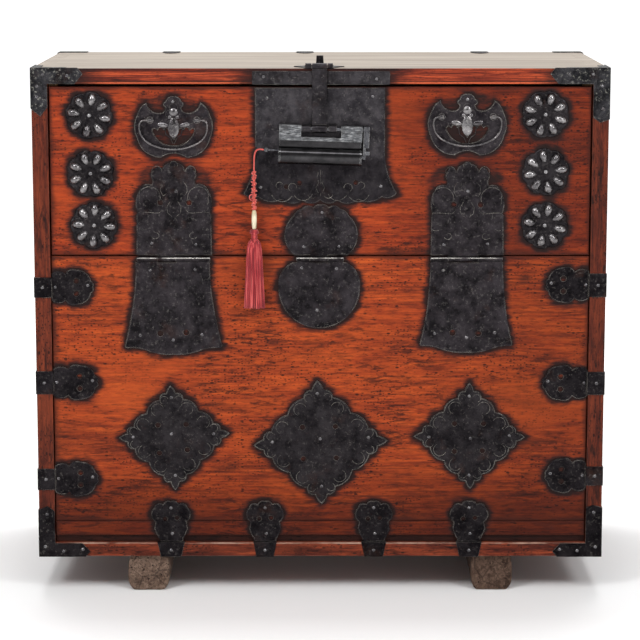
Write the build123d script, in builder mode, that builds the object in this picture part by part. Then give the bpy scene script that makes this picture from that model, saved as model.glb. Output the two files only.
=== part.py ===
from build123d import *
import math
import os

os.makedirs("parts", exist_ok=True)

# ---------------------------------------------------------------- dimensions
# All in millimetres. X is the width, -Y the front, +Z up. z = 0 is the floor.

case_width = 900.0
case_depth = 450.0
case_height = 780.0
runner_height = 58.0
case_top = runner_height + case_height

side_board = 25.0
top_board_t = 24.0
bottom_board_t = 22.0
back_board_t = 12.0
finger = case_depth / 5

front_reach = 26.7          # the padlock barrel stands this far before the case front
back_reach = 1.3            # irons behind the case back
front = -(case_depth + back_reach - front_reach) / 2
back = front + case_depth
inner_x = case_width / 2 - side_board

panel_recess = 4.0
panel_t = 20.0
panel_face = front + panel_recess
panel_back = panel_face + panel_t
door_side_gap = 2.0
door_top = 28.5             # distances named like this run down from the case top
door_bottom = 293.0
lower_top = 294.6
plank_seam = 723.2
shadow_step = 747.0
lower_bottom = case_height - bottom_board_t

iron = 1.5                  # iron sheet on the panels
case_iron = 1.3             # iron sheet on the case edges

hinge_y = front - 0.5
hinge_drop = 298.7
knuckle_r = 4.2
hinge_pin_r = 2.0
running = 0.06
knuckle_gap = 0.4

nail_shank_r = 0.95
nail_hole_r = 1.05
nail_length = 11.0
nail_head_r = 2.9
nail_head_h = 1.5
boss_r = 6.2
boss_h = 4.4

post_drop_left = 80.4
post_drop_right = 75.2
bail_y = panel_face - iron - 7.0
bail_wire_r = 1.6
bail_bore_r = 1.68
post_stem_r = 2.1

rod_drop = 93.5
rod_y = front - 6.5
rod_r = 3.4
loop_r = 6.9
loop_bore_r = 4.9
padlock_tilt = 1.85         # degrees, right end low
padlock_left = -63.6
padlock_right = 65.4

hasp_pin_drop = -4.0
hasp_pin_r = 1.9
hasp_knuckle_r = 4.6
strap_left, strap_right = -12.9, 10.6
strap_t = 3.6

tassel_x = -103.4
cord_r = 1.2


# ------------------------------------------------------------------ helpers
def at(x, drop):
    """A point on a front-facing plane, from its x and its distance below the case top."""
    return (x, case_top - drop)


def facing_front(y):
    """A plane that faces the front, with its x along X and its y up."""
    return Plane(origin=(0, y, 0), x_dir=(1, 0, 0), z_dir=(0, -1, 0))


def facing_right(x):
    """A plane that faces +X, with its x along Y and its y up."""
    return Plane(origin=(x, 0, 0), x_dir=(0, 1, 0), z_dir=(1, 0, 0))


def both_sides(centre, half):
    """A closed outline from its right half: offsets from the centre line and drops, listed from the lower middle up to the upper middle. Four numbers are an arc through the first two to the last two."""
    right = [(centre + h[0], h[1]) if len(h) == 2 else (centre + h[0], h[1], centre + h[2], h[3]) for h in half]
    flip = [(centre - h[0], h[1]) if len(h) == 2 else (centre - h[0], h[1], centre - h[2], h[3]) for h in half]
    path = list(right)
    for i in range(len(flip) - 1, 0, -1):
        goal = flip[i - 1][-2:]
        path.append(goal if len(flip[i]) == 2 else (flip[i][0], flip[i][1], *goal))
    return path


def trace(path):
    """Lines and arcs along an outline of drops, closed at the end."""
    here = path[0]
    for step in path[1:]:
        goal = step[-2:]
        if math.dist(here, goal) < 0.01:
            continue
        if len(step) == 2:
            Line(at(*here), at(*goal))
        else:
            ThreePointArc(at(*here), at(*step[:2]), at(*goal))
        here = goal
    if math.dist(here, path[0][-2:]) > 0.01:
        Line(at(*here), at(*path[0][-2:]))


def sheet(y_back, path, thickness=iron, pierced=(), nails=(), openings=()):
    """A flat iron sheet, front facing, with round pierced spots (x, drop, radius), nail holes and cut openings."""
    with BuildSketch(facing_front(y_back)) as face:
        with BuildLine():
            trace(path)
        make_face()
        for x, drop, r in pierced:
            with Locations(at(x, drop)):
                Circle(r, mode=Mode.SUBTRACT)
        for x, drop in nails:
            with Locations(at(x, drop)):
                Circle(nail_hole_r, mode=Mode.SUBTRACT)
    extrude(face.sketch, amount=thickness)
    for outline in openings:
        with BuildSketch(facing_front(y_back + 1)) as face:
            with BuildLine():
                trace(outline)
            make_face()
        extrude(face.sketch, amount=thickness + 2, mode=Mode.SUBTRACT)


def slab(x0, x1, y0, y1, z0, z1, mode=Mode.ADD):
    """A block between two corners."""
    with BuildSketch(Plane.XY.offset(z0)) as face:
        with Locations(((x0 + x1) / 2, (y0 + y1) / 2)):
            Rectangle(x1 - x0, y1 - y0)
    extrude(face.sketch, amount=z1 - z0, mode=mode)


def bar_x(x0, x1, y, z, r, mode=Mode.ADD):
    """A round bar along X."""
    with BuildSketch(facing_right(x0)) as face:
        with Locations((y, z)):
            Circle(r)
    extrude(face.sketch, amount=x1 - x0, mode=mode)


def bored_front(points, y_face, r, depth):
    """Round holes bored into a front face."""
    with BuildSketch(facing_front(y_face + depth)) as face:
        with Locations(*[at(*p) for p in points]):
            Circle(r)
    extrude(face.sketch, amount=depth + 1, mode=Mode.SUBTRACT)


def dome(points, y_face, r, h, shank=nail_length, shank_r=nail_shank_r):
    """Nails with low domed heads, standing on y_face, with their shanks behind."""
    ball = (r * r + h * h) / (2 * h)
    for x, drop in points:
        z = case_top - drop
        with BuildSketch(Plane(origin=(x, y_face, z), x_dir=(1, 0, 0), z_dir=(0, 0, 1))) as face:
            with BuildLine():
                Line((0, -h), (0, shank))
                Line((0, shank), (shank_r, shank - 1.5))
                Line((shank_r, shank - 1.5), (shank_r, 0))
                Line((shank_r, 0), (r, 0))
                ThreePointArc(
                    (r, 0),
                    (ball * math.sin(0.5 * math.asin(min(1.0, r / ball))), ball - h - ball * math.cos(0.5 * math.asin(min(1.0, r / ball)))),
                    (0, -h),
                )
            make_face()
        revolve(face.sketch, axis=Axis((x, y_face, z), (0, 1, 0)))


def save(builder, name):
    builder.part.label = name
    export_step(builder.part, f"parts/{name}.step")


# ------------------------------------------------------- outlines of the irons
# Offsets from each centre line, and drops.

def upper_leaf_outline(centre, k, lift=0.0):
    half = [(0, door_bottom + 0.3), (59.2 * k, door_bottom + 0.3), (58.4 * k, 228 + lift),
            (56.9 * k, 225.6 + lift, 57.8 * k, 222.8 + lift), (59.0 * k, 204 + lift, 52.6 * k, 188.5 + lift),
            (44.5 * k, 181.2 + lift, 34.6 * k, 182.0 + lift), (33.0 * k, 177.5 + lift, 33.8 * k, 172.5 + lift),
            (34.0 * k, 161.5 + lift, 26.5 * k, 157.2 + lift), (21.5 * k, 156.6 + lift, 17.6 * k, 160.4 + lift),
            (13.6 * k, 151.6 + lift, 0, 148.2 + lift)]
    return both_sides(centre, half)


def lower_leaf_outline(centre, top, bottom, low, drop_top):
    half = [(0, low), (24, low - 1.2, 42, low - 6.4), (57, low - 10.2, bottom - 3.2, low - 10.6),
            (bottom - 0.6, low - 11.8, bottom, low - 15.0),
            (bottom - 7.2, low - 47, top + 2.4, low - 98), (top + 0.6, low - 120, top, drop_top), (0, drop_top)]
    return both_sides(centre, half)


def diamond_outline(top, right, bottom, left, swell=3.6, dip=4.4):
    corners = [top, right, bottom, left]
    mid = (sum(c[0] for c in corners) / 4, sum(c[1] for c in corners) / 4)
    path = [top]
    for i in range(4):
        a, b = corners[i], corners[(i + 1) % 4]
        length = math.dist(a, b)
        along = ((b[0] - a[0]) / length, (b[1] - a[1]) / length)
        out = (along[1], -along[0])
        if out[0] * (a[0] - mid[0]) + out[1] * (a[1] - mid[1]) < 0:
            out = (-out[0], -out[1])

        def spot(t, n):
            return (a[0] + along[0] * length * t + out[0] * n, a[1] + along[1] * length * t + out[1] * n)

        last = 0.0
        for stop, bulge in ((0.12, 1.3), (0.245, 2.3), (0.5, swell), (0.755, swell), (0.88, 2.3), (1.0, 1.3)):
            m = spot((last + stop) / 2, bulge - dip * 0.5)
            e = spot(stop, 0 if stop == 1.0 else -dip)
            path.append((*m, *e))
            last = stop
    return path


def side_strap_outline(edge, inward, centre, length, half_height=28.2):
    k = length / 65.0
    h = half_height / 28.2
    side = [(0, 21.0), (8, 25.2, 18, 24.0), (22, 21.2), (27.5, 27.2, 38, 28.2), (47, 26.6), (57.5, 19.5, 61.8, 9.8), (65.6, 5.6, 65.0, 0)]
    path = [(edge, centre + 21.0 * h)]
    for s in side[1:]:
        if len(s) == 2:
            path.append((edge + inward * s[0] * k, centre + s[1] * h))
        else:
            path.append((edge + inward * s[0] * k, centre + s[1] * h, edge + inward * s[2] * k, centre + s[3] * h))
    for i in range(len(side) - 1, 0, -1):
        goal = side[i - 1][-2:]
        s = side[i]
        g = (edge + inward * goal[0] * k, centre - goal[1] * h)
        path.append(g if len(s) == 2 else (edge + inward * s[0] * k, centre - s[1] * h, *g))
    return path


def rosette_outline(x, drop, turn, cusp=33.0, lobe=37.6):
    path = []
    for i in range(8):
        a = math.radians(turn + 45 * i - 22.5)
        m = math.radians(turn + 45 * i)
        b = math.radians(turn + 45 * i + 22.5)
        if not path:
            path.append((x + cusp * math.cos(a), drop + cusp * math.sin(a)))
        path.append((x + lobe * math.cos(m), drop + lobe * math.sin(m), x + cusp * math.cos(b), drop + cusp * math.sin(b)))
    return path


def handle_outline(centre, lift):
    half = [(0, 132.5 + lift), (9.5, 134.2 + lift, 19.5, 139.2 + lift), (45.5, 129.5 + lift, 57.5, 108.5 + lift),
            (61.5, 90 + lift, 56.5, 72 + lift), (50.5, 60 + lift, 41.8, 53.2 + lift), (33.5, 66.2 + lift, 17.0, 68.4 + lift),
            (13.6, 65.2 + lift, 12.6, 60.4 + lift), (16.0, 56.5 + lift, 12.2, 51.6 + lift), (8.6, 45.4 + lift, 0, 43.2 + lift)]
    return both_sides(centre, half)


def handle_opening(centre, lift):
    half = [(0, 121.6 + lift), (22.5, 114.6 + lift, 34.0, 97.4 + lift), (30.8, 92.6 + lift, 25.2, 95.2 + lift),
            (20.8, 90.6 + lift, 15.4, 94.6 + lift), (11.6, 91.8 + lift, 7.4, 94.4 + lift), (0, 110.5 + lift)]
    return both_sides(centre, half)


# ---------------------------------------------------------- where things stand
rosettes_left = [(-360.6, 73.3, 10), (-359.8, 164.4, 25), (-355.4, 246.0, 4)]
rosettes_right = [(351.4, 71.7, 18), (352.9, 161.7, 36), (352.6, 246.2, 12)]
petal_ring = 25.0

handle_left_x, handle_left_lift, handle_left_span = -229.1, 0.0, 36.6
handle_right_x, handle_right_lift, handle_right_span = 229.4, -3.6, 40.2

door_nails = {
    "lock": [(-83.0, 46.0), (81.6, 43.6), (-93.8, 185.6), (94.8, 184.0)],
    "handle_left": [(-229.6, 51.5), (-229.1, 84.0)],
    "handle_right": [(229.4, 47.9), (229.4, 80.4)],
    "left": [(-225.8, 192.2), (-195.6, 276.0), (-265.1, 274.2)],
    "right": [(231.3, 191.9), (194.2, 276.6), (263.3, 275.5)],
    "centre": [(2.8, 225.3), (-26.0, 279.8), (28.9, 279.0)],
}
panel_nails = {
    "left": [(-268.0, 316.7), (-197.2, 315.5), (-284.7, 421.1), (-232.7, 428.9), (-187.5, 419.9)],
    "right": [(193.3, 317.3), (180.9, 418.2), (231.5, 424.4), (275.8, 417.1)],
    "centre": [(-29.5, 313.2), (25.4, 314.6), (-5.5, 380.8)],
}
diamonds = {
    "left": dict(corners=((-238.3, 501.8), (-144.5, 579.4), (-231.6, 673.0), (-321.1, 587.2)),
                 spots=[(-258.7, 566.4), (-213.7, 565.1), (-256.7, 611.8), (-212.1, 606.6)],
                 nails=[(-237.2, 580.7), (-237.0, 521.5), (-298.5, 585.6), (-170.0, 580.7), (-231.5, 648.3)]),
    "centre": dict(corners=((-4.9, 493.9), (107.3, 591.7), (2.1, 695.2), (-106.4, 599.6)),
                   spots=[(-28.5, 569.9), (24.0, 568.5), (-27.0, 621.4), (25.7, 619.8)],
                   nails=[(-0.3, 588.7), (-4.9, 514.8), (-76.5, 594.0), (76.7, 586.4), (2.1, 666.1)]),
    "right": dict(corners=((237.0, 497.9), (325.6, 585.9), (239.4, 670.6), (149.0, 584.6)),
                  spots=[(213.5, 563.8), (259.8, 563.8), (213.9, 609.2), (258.4, 607.9)],
                  nails=[(239.2, 587.8), (236.6, 519.1), (173.1, 585.9), (301.3, 583.3), (237.3, 647.6)]),
}
panel_side_gap = 1.2
panel_edge = inner_x - panel_side_gap
straps_left = [(344.2, 65.0, 16.0), (497.0, 70.0, 18.4), (654.0, 68.0, 17.2)]      # centre drop, reach, half band
straps_right = [(340.6, 67.5, 18.6), (498.0, 70.5, 18.4), (648.5, 64.5, 15.4)]
bottom_straps = [(-239.3, 30.2, 22.0), (-88.6, 28.7, 18.6), (85.6, 28.6, 20.0), (238.2, 29.6, 20.6)]  # centre x, half plate, half band

strap_nails_left = [(-panel_edge + 5.0, c) for c, r, b in straps_left] + [(-panel_edge + r - 8.0, c - 3.0) for c, r, b in straps_left]
strap_nails_right = [(panel_edge - 5.0, c) for c, r, b in straps_right] + [(panel_edge - r + 8.0, c - 3.0) for c, r, b in straps_right]
bottom_strap_nails = [(x, 701.5) for x, p, b in bottom_straps] + [(x + 2.0, 744.0) for x, p, b in bottom_straps]
band_nails_left = [(-438.0, c) for c, r, b in straps_left]
band_nails_right = [(438.0, c) for c, r, b in straps_right]
band_nails_bottom = [(x, 770.5) for x, p, b in bottom_straps]
top_band_nails = [(-88.2, 12.6), (87.6, 16.0)]
corner_nails = {
    "top_left": [(-431.9, 9.6), (-393.9, 11.0), (-441.0, 27.5), (-441.5, 44.0)],
    "top_right": [(387.3, 9.4), (424.3, 9.0), (438.7, 27.0), (440.5, 62.7)],
    "bottom_left": [(-437.5, 711.0), (-441.0, 764.5), (-412.0, 772.0), (-381.0, 769.0)],
    "bottom_right": [(437.5, 708.0), (441.0, 765.0), (412.0, 771.0), (384.0, 769.0)],
}

# --------------------------------------------------------------- wooden boards
# The four case boards meet in box joints of five fingers at each corner.
half = case_width / 2
box_bottom = runner_height
top_under = case_top - top_board_t
bottom_over = box_bottom + bottom_board_t

with BuildPart() as top_board:
    slab(-inner_x, inner_x, front, back, top_under, case_top)
    for i in (0, 2, 4):
        slab(-half, -inner_x, front + i * finger, front + (i + 1) * finger, top_under, case_top)
        slab(inner_x, half, front + i * finger, front + (i + 1) * finger, top_under, case_top)
    bored_front([n for k in ("top_left", "top_right") for n in corner_nails[k][:2]] + top_band_nails, front, nail_hole_r, nail_length)
save(top_board, "top_board")

with BuildPart() as bottom_board:
    slab(-inner_x, inner_x, front, back, box_bottom, bottom_over)
    for i in (0, 2, 4):
        slab(-half, -inner_x, front + i * finger, front + (i + 1) * finger, box_bottom, bottom_over)
        slab(inner_x, half, front + i * finger, front + (i + 1) * finger, box_bottom, bottom_over)
    bored_front([n for k in ("bottom_left", "bottom_right") for n in corner_nails[k][1:]] + band_nails_bottom, front, nail_hole_r, nail_length)
save(bottom_board, "bottom_board")

with BuildPart() as left_side_board:
    slab(-half, -inner_x, front, back, bottom_over, top_under)
    for i in (1, 3):
        slab(-half, -inner_x, front + i * finger, front + (i + 1) * finger, box_bottom, bottom_over)
        slab(-half, -inner_x, front + i * finger, front + (i + 1) * finger, top_under, case_top)
    bored_front(corner_nails["top_left"][2:] + corner_nails["bottom_left"][:1] + band_nails_left, front, nail_hole_r, nail_length)
save(left_side_board, "left_side_board")

with BuildPart() as right_side_board:
    slab(inner_x, half, front, back, bottom_over, top_under)
    for i in (1, 3):
        slab(inner_x, half, front + i * finger, front + (i + 1) * finger, box_bottom, bottom_over)
        slab(inner_x, half, front + i * finger, front + (i + 1) * finger, top_under, case_top)
    bored_front(corner_nails["top_right"][2:] + corner_nails["bottom_right"][:1] + band_nails_right, front, nail_hole_r, nail_length)
save(right_side_board, "right_side_board")

back_seam = bottom_over + 330.0
with BuildPart() as back_lower_board:
    slab(-inner_x, inner_x, back - back_board_t, back, bottom_over, back_seam)
save(back_lower_board, "back_lower_board")
with BuildPart() as back_upper_board:
    slab(-inner_x, inner_x, back - back_board_t, back, back_seam + 0.6, top_under)
save(back_upper_board, "back_upper_board")

# The door drops forward and down about the pins along its lower edge.
door_half = inner_x - door_side_gap
ring_xs = [(-28.2, -15.4), (13.0, 25.2)]
ring_stems = [((a + b) / 2, rod_drop) for a, b in ring_xs]
posts = ([(handle_left_x + s * handle_left_span, post_drop_left) for s in (-1, 1)]
         + [(handle_right_x + s * handle_right_span, post_drop_right) for s in (-1, 1)])
boss_points = []
for x, drop, turn in rosettes_left + rosettes_right:
    for i in range(8):
        a = math.radians(turn + 45 * i)
        boss_points.append((x + petal_ring * math.cos(a), drop + petal_ring * math.sin(a)))
rosette_centres = [(x, drop) for x, drop, turn in rosettes_left + rosettes_right]
all_door_nails = [n for group in door_nails.values() for n in group]

with BuildPart() as door_board:
    slab(-door_half, door_half, panel_face, panel_back, case_top - door_bottom, case_top - door_top)
    fillet(door_board.faces().sort_by(Axis.Y)[0].edges(), 1.6)
    bored_front(all_door_nails + boss_points + rosette_centres, panel_face, nail_hole_r, nail_length)
    bored_front(ring_stems + posts, panel_face, post_stem_r + 0.1, panel_t + 1)
save(door_board, "door_board")

# Two strips inside the case stop the door when it is shut.
for name, sign in (("door_stop_left", -1), ("door_stop_right", 1)):
    with BuildPart() as stop:
        x0, x1 = sorted((sign * inner_x, sign * (inner_x - 14)))
        slab(x0, x1, panel_back + 0.4, panel_back + 16.4, case_top - door_bottom, top_under)
    save(stop, name)

# The fixed lower front: a wide board with a narrow plank below it, which is set back along its foot.
with BuildPart() as lower_front_board:
    slab(-panel_edge, panel_edge, panel_face, panel_back, case_top - plank_seam + 0.25, case_top - lower_top)
    fillet(lower_front_board.faces().sort_by(Axis.Y)[0].edges(), 1.4)
    fixed_nails = ([n for group in panel_nails.values() for n in group] + [n for d in diamonds.values() for n in d["nails"]]
                   + strap_nails_left + strap_nails_right + bottom_strap_nails[:4])
    bored_front(fixed_nails, panel_face, nail_hole_r, nail_length)
save(lower_front_board, "lower_front_board")

with BuildPart() as lower_front_plank:
    slab(-panel_edge, panel_edge, panel_face + 5.0, panel_back, bottom_over, case_top - plank_seam)
    slab(-panel_edge, panel_edge, panel_face, panel_face + 5.0, case_top - shadow_step, case_top - plank_seam)
    fillet(lower_front_plank.faces().sort_by(Axis.Y)[0].edges(), 1.4)
    bored_front(bottom_strap_nails[4:], panel_face, nail_hole_r, nail_length)
save(lower_front_plank, "lower_front_plank")

# Two hewn runners lie from front to back under the case.
for name, centre_x, front_in, shape in (
    ("left_runner", -276.0, 8.0, [(-25, 0), (-31.5, 9), (-33.5, 27), (-32, 46), (-29, 58), (29, 58), (32.5, 46), (33, 26), (31, 9), (24, 0)]),
    ("right_runner", 276.0, 10.0, [(-25.5, 0), (-31.2, 9), (-32.5, 26), (-32, 45), (-28.5, 58), (28.5, 58), (32, 45), (33, 27), (31.2, 9), (24.5, 0)]),
):
    with BuildPart() as runner:
        with BuildSketch(facing_front(back - 10.0)):
            with BuildLine():
                outline = [(centre_x + x, z) for x, z in shape]
                Spline(*outline[:5])
                Line(outline[4], outline[5])
                Spline(*outline[5:])
                Line(outline[9], outline[0])
            make_face()
        extrude(amount=case_depth - 10.0 - front_in)
        ends = runner.faces().sort_by(Axis.Y)
        fillet([e for e in ends[0].edges() if e.center().Z > 1 and e.center().Z < 57], 3.0)
    save(runner, name)

# ------------------------------------------------------------- irons of the door
for name, group in (("rosette_plates_left", rosettes_left), ("rosette_plates_right", rosettes_right)):
    with BuildPart() as plates:
        for x, drop, turn in group:
            nails = [(x, drop)] + [(x + petal_ring * math.cos(math.radians(turn + 45 * i)), drop + petal_ring * math.sin(math.radians(turn + 45 * i))) for i in range(8)]
            sheet(panel_face, rosette_outline(x, drop, turn), nails=nails)
    save(plates, name)

with BuildPart() as rosette_bosses:
    dome(boss_points, panel_face - iron, boss_r, boss_h)
    dome(rosette_centres, panel_face - iron, 3.4, 1.9)
save(rosette_bosses, "rosette_bosses")

for name, key, cx, lift, span, drop in (
    ("handle_plate_left", "handle_left", handle_left_x, handle_left_lift, handle_left_span, post_drop_left),
    ("handle_plate_right", "handle_right", handle_right_x, handle_right_lift, handle_right_span, post_drop_right),
):
    with BuildPart() as plate:
        sheet(panel_face, handle_outline(cx, lift), nails=door_nails[key],
              pierced=[(cx - span, drop, post_stem_r + 0.1), (cx + span, drop, post_stem_r + 0.1)],
              openings=[handle_opening(cx, lift)])
    save(plate, name)

# Eye posts: a stem through the door and an eye in front, whose bore runs along X.
with BuildPart() as handle_posts:
    for x, drop in posts:
        z = case_top - drop
        with BuildSketch(facing_front(panel_back + 1.0)):
            with Locations((x, z)):
                Circle(post_stem_r)
        extrude(amount=panel_back + 1.0 - bail_y)
        with BuildSketch(facing_front(panel_face - iron)):
            with Locations((x, z)):
                Circle(5.6)
        extrude(amount=1.1)
        bar_x(x - 2.6, x + 2.6, bail_y, z, 4.3)
        bar_x(x - 3.6, x + 3.6, bail_y, z, bail_bore_r, mode=Mode.SUBTRACT)
save(handle_posts, "handle_posts")

for name, cx, span, drop in (
    ("handle_bail_left", handle_left_x, handle_left_span, post_drop_left),
    ("handle_bail_right", handle_right_x, handle_right_span, post_drop_right),
):
    with BuildPart() as bail:
        z = case_top - drop
        with BuildLine(Plane(origin=(cx, bail_y, z), x_dir=(1, 0, 0), z_dir=(0, -1, 0))) as bail_path:
            Line((-span + 6.0, 0), (-45.5, 0))
            ThreePointArc((-45.5, 0), (-53.0 + 7.5 * (1 - math.sqrt(0.5)), -7.5 + 7.5 * math.sqrt(0.5)), (-53.0, -7.5))
            Line((-53.0, -7.5), (-53.0, -10.0))
            ThreePointArc((-53.0, -10.0), (-48.58, -25.67), (-36.58, -36.75))
            ThreePointArc((-36.58, -36.75), (0, -45.5), (36.58, -36.75))
            ThreePointArc((36.58, -36.75), (48.58, -25.67), (53.0, -10.0))
            Line((53.0, -10.0), (53.0, -7.5))
            ThreePointArc((53.0, -7.5), (53.0 - 7.5 * (1 - math.sqrt(0.5)), -7.5 + 7.5 * math.sqrt(0.5)), (45.5, 0))
            Line((45.5, 0), (span - 6.0, 0))
        with BuildSketch(Plane(origin=(cx - span + 6.0, bail_y, z), x_dir=(0, 1, 0), z_dir=(-1, 0, 0))):
            Circle(bail_wire_r)
        sweep(path=bail_path.wires()[0])
    save(bail, name)

with BuildPart() as lock_plate:
    half_outline = [(0, 206.0), (13.0, 211.6, 27.0, 206.4), (43.0, 211.8, 60.0, 205.2), (79.0, 209.0, 97.0, 201.0), (110.5, 202.2, 120.2, 195.4),
                    (106.2, 163.0, 101.2, 127.0), (101.2, 30.2), (0, 30.2)]
    sheet(panel_face, both_sides(-0.4, half_outline), nails=door_nails["lock"],
          pierced=[(-53.1, 184.8, 4.2), (-32.3, 179.3, 4.2), (55.6, 178.5, 4.2)] + [(x, d, post_stem_r + 0.1) for x, d in ring_stems])
save(lock_plate, "lock_plate")

# Two staple rings stand out of the lock plate and take the padlock rod.
rod_z = case_top - rod_drop
with BuildPart() as lock_rings:
    for (x0, x1), (x, drop) in zip(ring_xs, ring_stems):
        bar_x(x0, x1, rod_y, rod_z, loop_r)
        with BuildSketch(facing_front(panel_back + 1.0)):
            with Locations((x, rod_z)):
                Circle(post_stem_r)
        extrude(amount=panel_back + 1.0 - rod_y - 5.6)
        bar_x(x0 - 1, x1 + 1, rod_y, rod_z, loop_bore_r, mode=Mode.SUBTRACT)
save(lock_rings, "lock_rings")

# ----------------------------------------------------------------------- hinges
hinge_z = case_top - hinge_drop
hinges = {
    "left": dict(x=(-288.1, -256.1, -227.2, -173.6), lead=-0.0),
    "centre": dict(x=(-37.2, -16.8, 12.1, 36.7), lead=0.0),
    "right": dict(x=(173.8, 201.0, 248.2, 286.2), lead=0.0),
}


def leaf_knuckle(x0, x1, above):
    """One rolled knuckle with the neck that joins it to its leaf."""
    bar_x(x0, x1, hinge_y, hinge_z, knuckle_r)
    if above:
        slab(x0, x1, panel_face - iron, panel_face, hinge_z, case_top - door_bottom + 0.4)
    else:
        slab(x0, x1, panel_face - iron, panel_face, case_top - 305.2, hinge_z)
    bar_x(x0 - 1, x1 + 1, hinge_y, hinge_z, hinge_pin_r + running, mode=Mode.SUBTRACT)


gourd_upper = [(0, door_bottom + 0.3), (41.6, door_bottom + 0.3), (57.6, 262.0, 44.0, 231.4), (38.5, 224.0, 29.8, 219.6),
               (21.0, 214.8, 12.0, 217.6), (6.6, 213.4, 0, 212.9)]
gourd_lower = [(0, 409.6), (45.4, 390.6, 64.2, 345.6), (58.4, 319.0, 42.0, 304.7), (0, 304.7)]
leaf_specs = {
    "left": dict(up=upper_leaf_outline(-229.9, 1.0), down=lower_leaf_outline(-232.4, 58.4, 76.6, 452.1, 304.7),
                 up_spots=[(-251.2, 209.9, 4.6), (-206.1, 209.9, 4.6)], down_spots=[(-253.0, 418.2, 5.0), (-212.0, 416.6, 5.0)]),
    "right": dict(up=upper_leaf_outline(230.9, 0.968, 1.6), down=lower_leaf_outline(230.6, 57.2, 73.0, 448.9, 304.7),
                  up_spots=[(209.5, 213.0, 4.6), (251.4, 213.0, 4.6)], down_spots=[(209.2, 417.1, 5.0), (249.8, 418.2, 5.0)]),
    "centre": dict(up=both_sides(1.2, gourd_upper), down=both_sides(-1.8, gourd_lower), up_spots=[], down_spots=[]),
}
for side, spec in leaf_specs.items():
    x = hinges[side]["x"]
    with BuildPart() as upper_leaf:
        sheet(panel_face, spec["up"], pierced=spec["up_spots"], nails=door_nails[side])
        leaf_knuckle(x[1] + knuckle_gap / 2, x[2] - knuckle_gap / 2, True)
    save(upper_leaf, f"{side}_hinge_upper_leaf")
    with BuildPart() as lower_leaf:
        sheet(panel_face, spec["down"], pierced=spec["down_spots"], nails=panel_nails[side])
        leaf_knuckle(x[0], x[1] - knuckle_gap / 2, False)
        leaf_knuckle(x[2] + knuckle_gap / 2, x[3], False)
    save(lower_leaf, f"{side}_hinge_lower_leaf")
    with BuildPart() as hinge_pin:
        bar_x(x[0] - 0.6, x[3] + 0.6, hinge_y, hinge_z, hinge_pin_r)
    save(hinge_pin, f"{side}_hinge_pin")

# ------------------------------------------------------- irons on the lower front
for side, d in diamonds.items():
    with BuildPart() as diamond:
        sheet(panel_face, diamond_outline(*d["corners"]), pierced=[(*p, 4.3) for p in d["spots"]], nails=d["nails"])
    save(diamond, f"diamond_plate_{side}")

# Side straps: a lobed plate on the front board, a step over the side board and a tail on its outer face.
for name, sign, group, band_nails, nails in (
    ("side_straps_left", -1, straps_left, band_nails_left, strap_nails_left),
    ("side_straps_right", 1, straps_right, band_nails_right, strap_nails_right),
):
    with BuildPart() as straps:
        for i, (centre, reach, half_band) in enumerate(group):
            z = case_top - centre
            own = [nails[i], nails[i + 3]]
            spots = [(sign * (panel_edge - reach * 0.6), centre - 10.0, 4.6), (sign * (panel_edge - reach * 0.6), centre + 10.0, 4.6)]
            sheet(panel_face, side_strap_outline(sign * panel_edge, -sign, centre, reach), pierced=spots, nails=own)
            x0, x1 = sorted((sign * (panel_edge - 0.5), sign * inner_x))
            slab(x0, x1, front - case_iron, panel_face, z - half_band, z + half_band)
            x0, x1 = sorted((sign * panel_edge, sign * (half + case_iron)))
            slab(x0, x1, front - case_iron, front, z - half_band, z + half_band)
            with BuildSketch(facing_right(half) if sign > 0 else facing_right(-half - case_iron)):
                with BuildLine():
                    Polyline((front - case_iron, z - half_band), (front + 62, z - half_band + 2), (front + 70, z - half_band * 0.62), (front + 84, z),
                             (front + 70, z + half_band * 0.62), (front + 62, z + half_band - 2), (front - case_iron, z + half_band), close=True)
                make_face()
            extrude(amount=case_iron)
        bored_front(band_nails, front - 2, nail_hole_r, 12)
    save(straps, name)

# Bottom straps: a domed plate on the front board and a narrow band over the bottom board.
with BuildPart() as bottom_strap_set:
    for x, half_plate, half_band in bottom_straps:
        k = half_plate / 30.0
        outline = [(0, 751.0), (20.5 * k, 751.0), (26.6 * k, 736.0), (24.6 * k, 724.5), (31.4 * k, 713.5, 26.6 * k, 702.0),
                   (20.4 * k, 694.6, 12.4 * k, 696.2), (6.8 * k, 690.6, 0, 690.6)]
        sheet(panel_face, both_sides(x, outline), pierced=[(x - 9.2, 719.5, 3.9), (x + 9.6, 718.0, 3.9)], nails=[(x, 701.5), (x + 2.0, 744.0)])
        slab(x - 19.0 * k, x + 19.0 * k, panel_face - iron, panel_face, bottom_over, case_top - 750.0)
        slab(x - half_band, x + half_band, front - case_iron, panel_face, bottom_over, bottom_over + case_iron)
        with BuildSketch(facing_front(front)):
            with BuildLine():
                Polyline((x - half_band, bottom_over + case_iron), (x + half_band, bottom_over + case_iron),
                         (x + half_band * 0.74, box_bottom - case_iron), (x - half_band * 0.74, box_bottom - case_iron), close=True)
            make_face()
        extrude(amount=case_iron)
        slab(x - half_band * 0.7, x + half_band * 0.7, front - case_iron, front + 7.0, box_bottom - case_iron, box_bottom)
    bored_front(band_nails_bottom, front - 2, nail_hole_r, 12)
save(bottom_strap_set, "bottom_straps")


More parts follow.
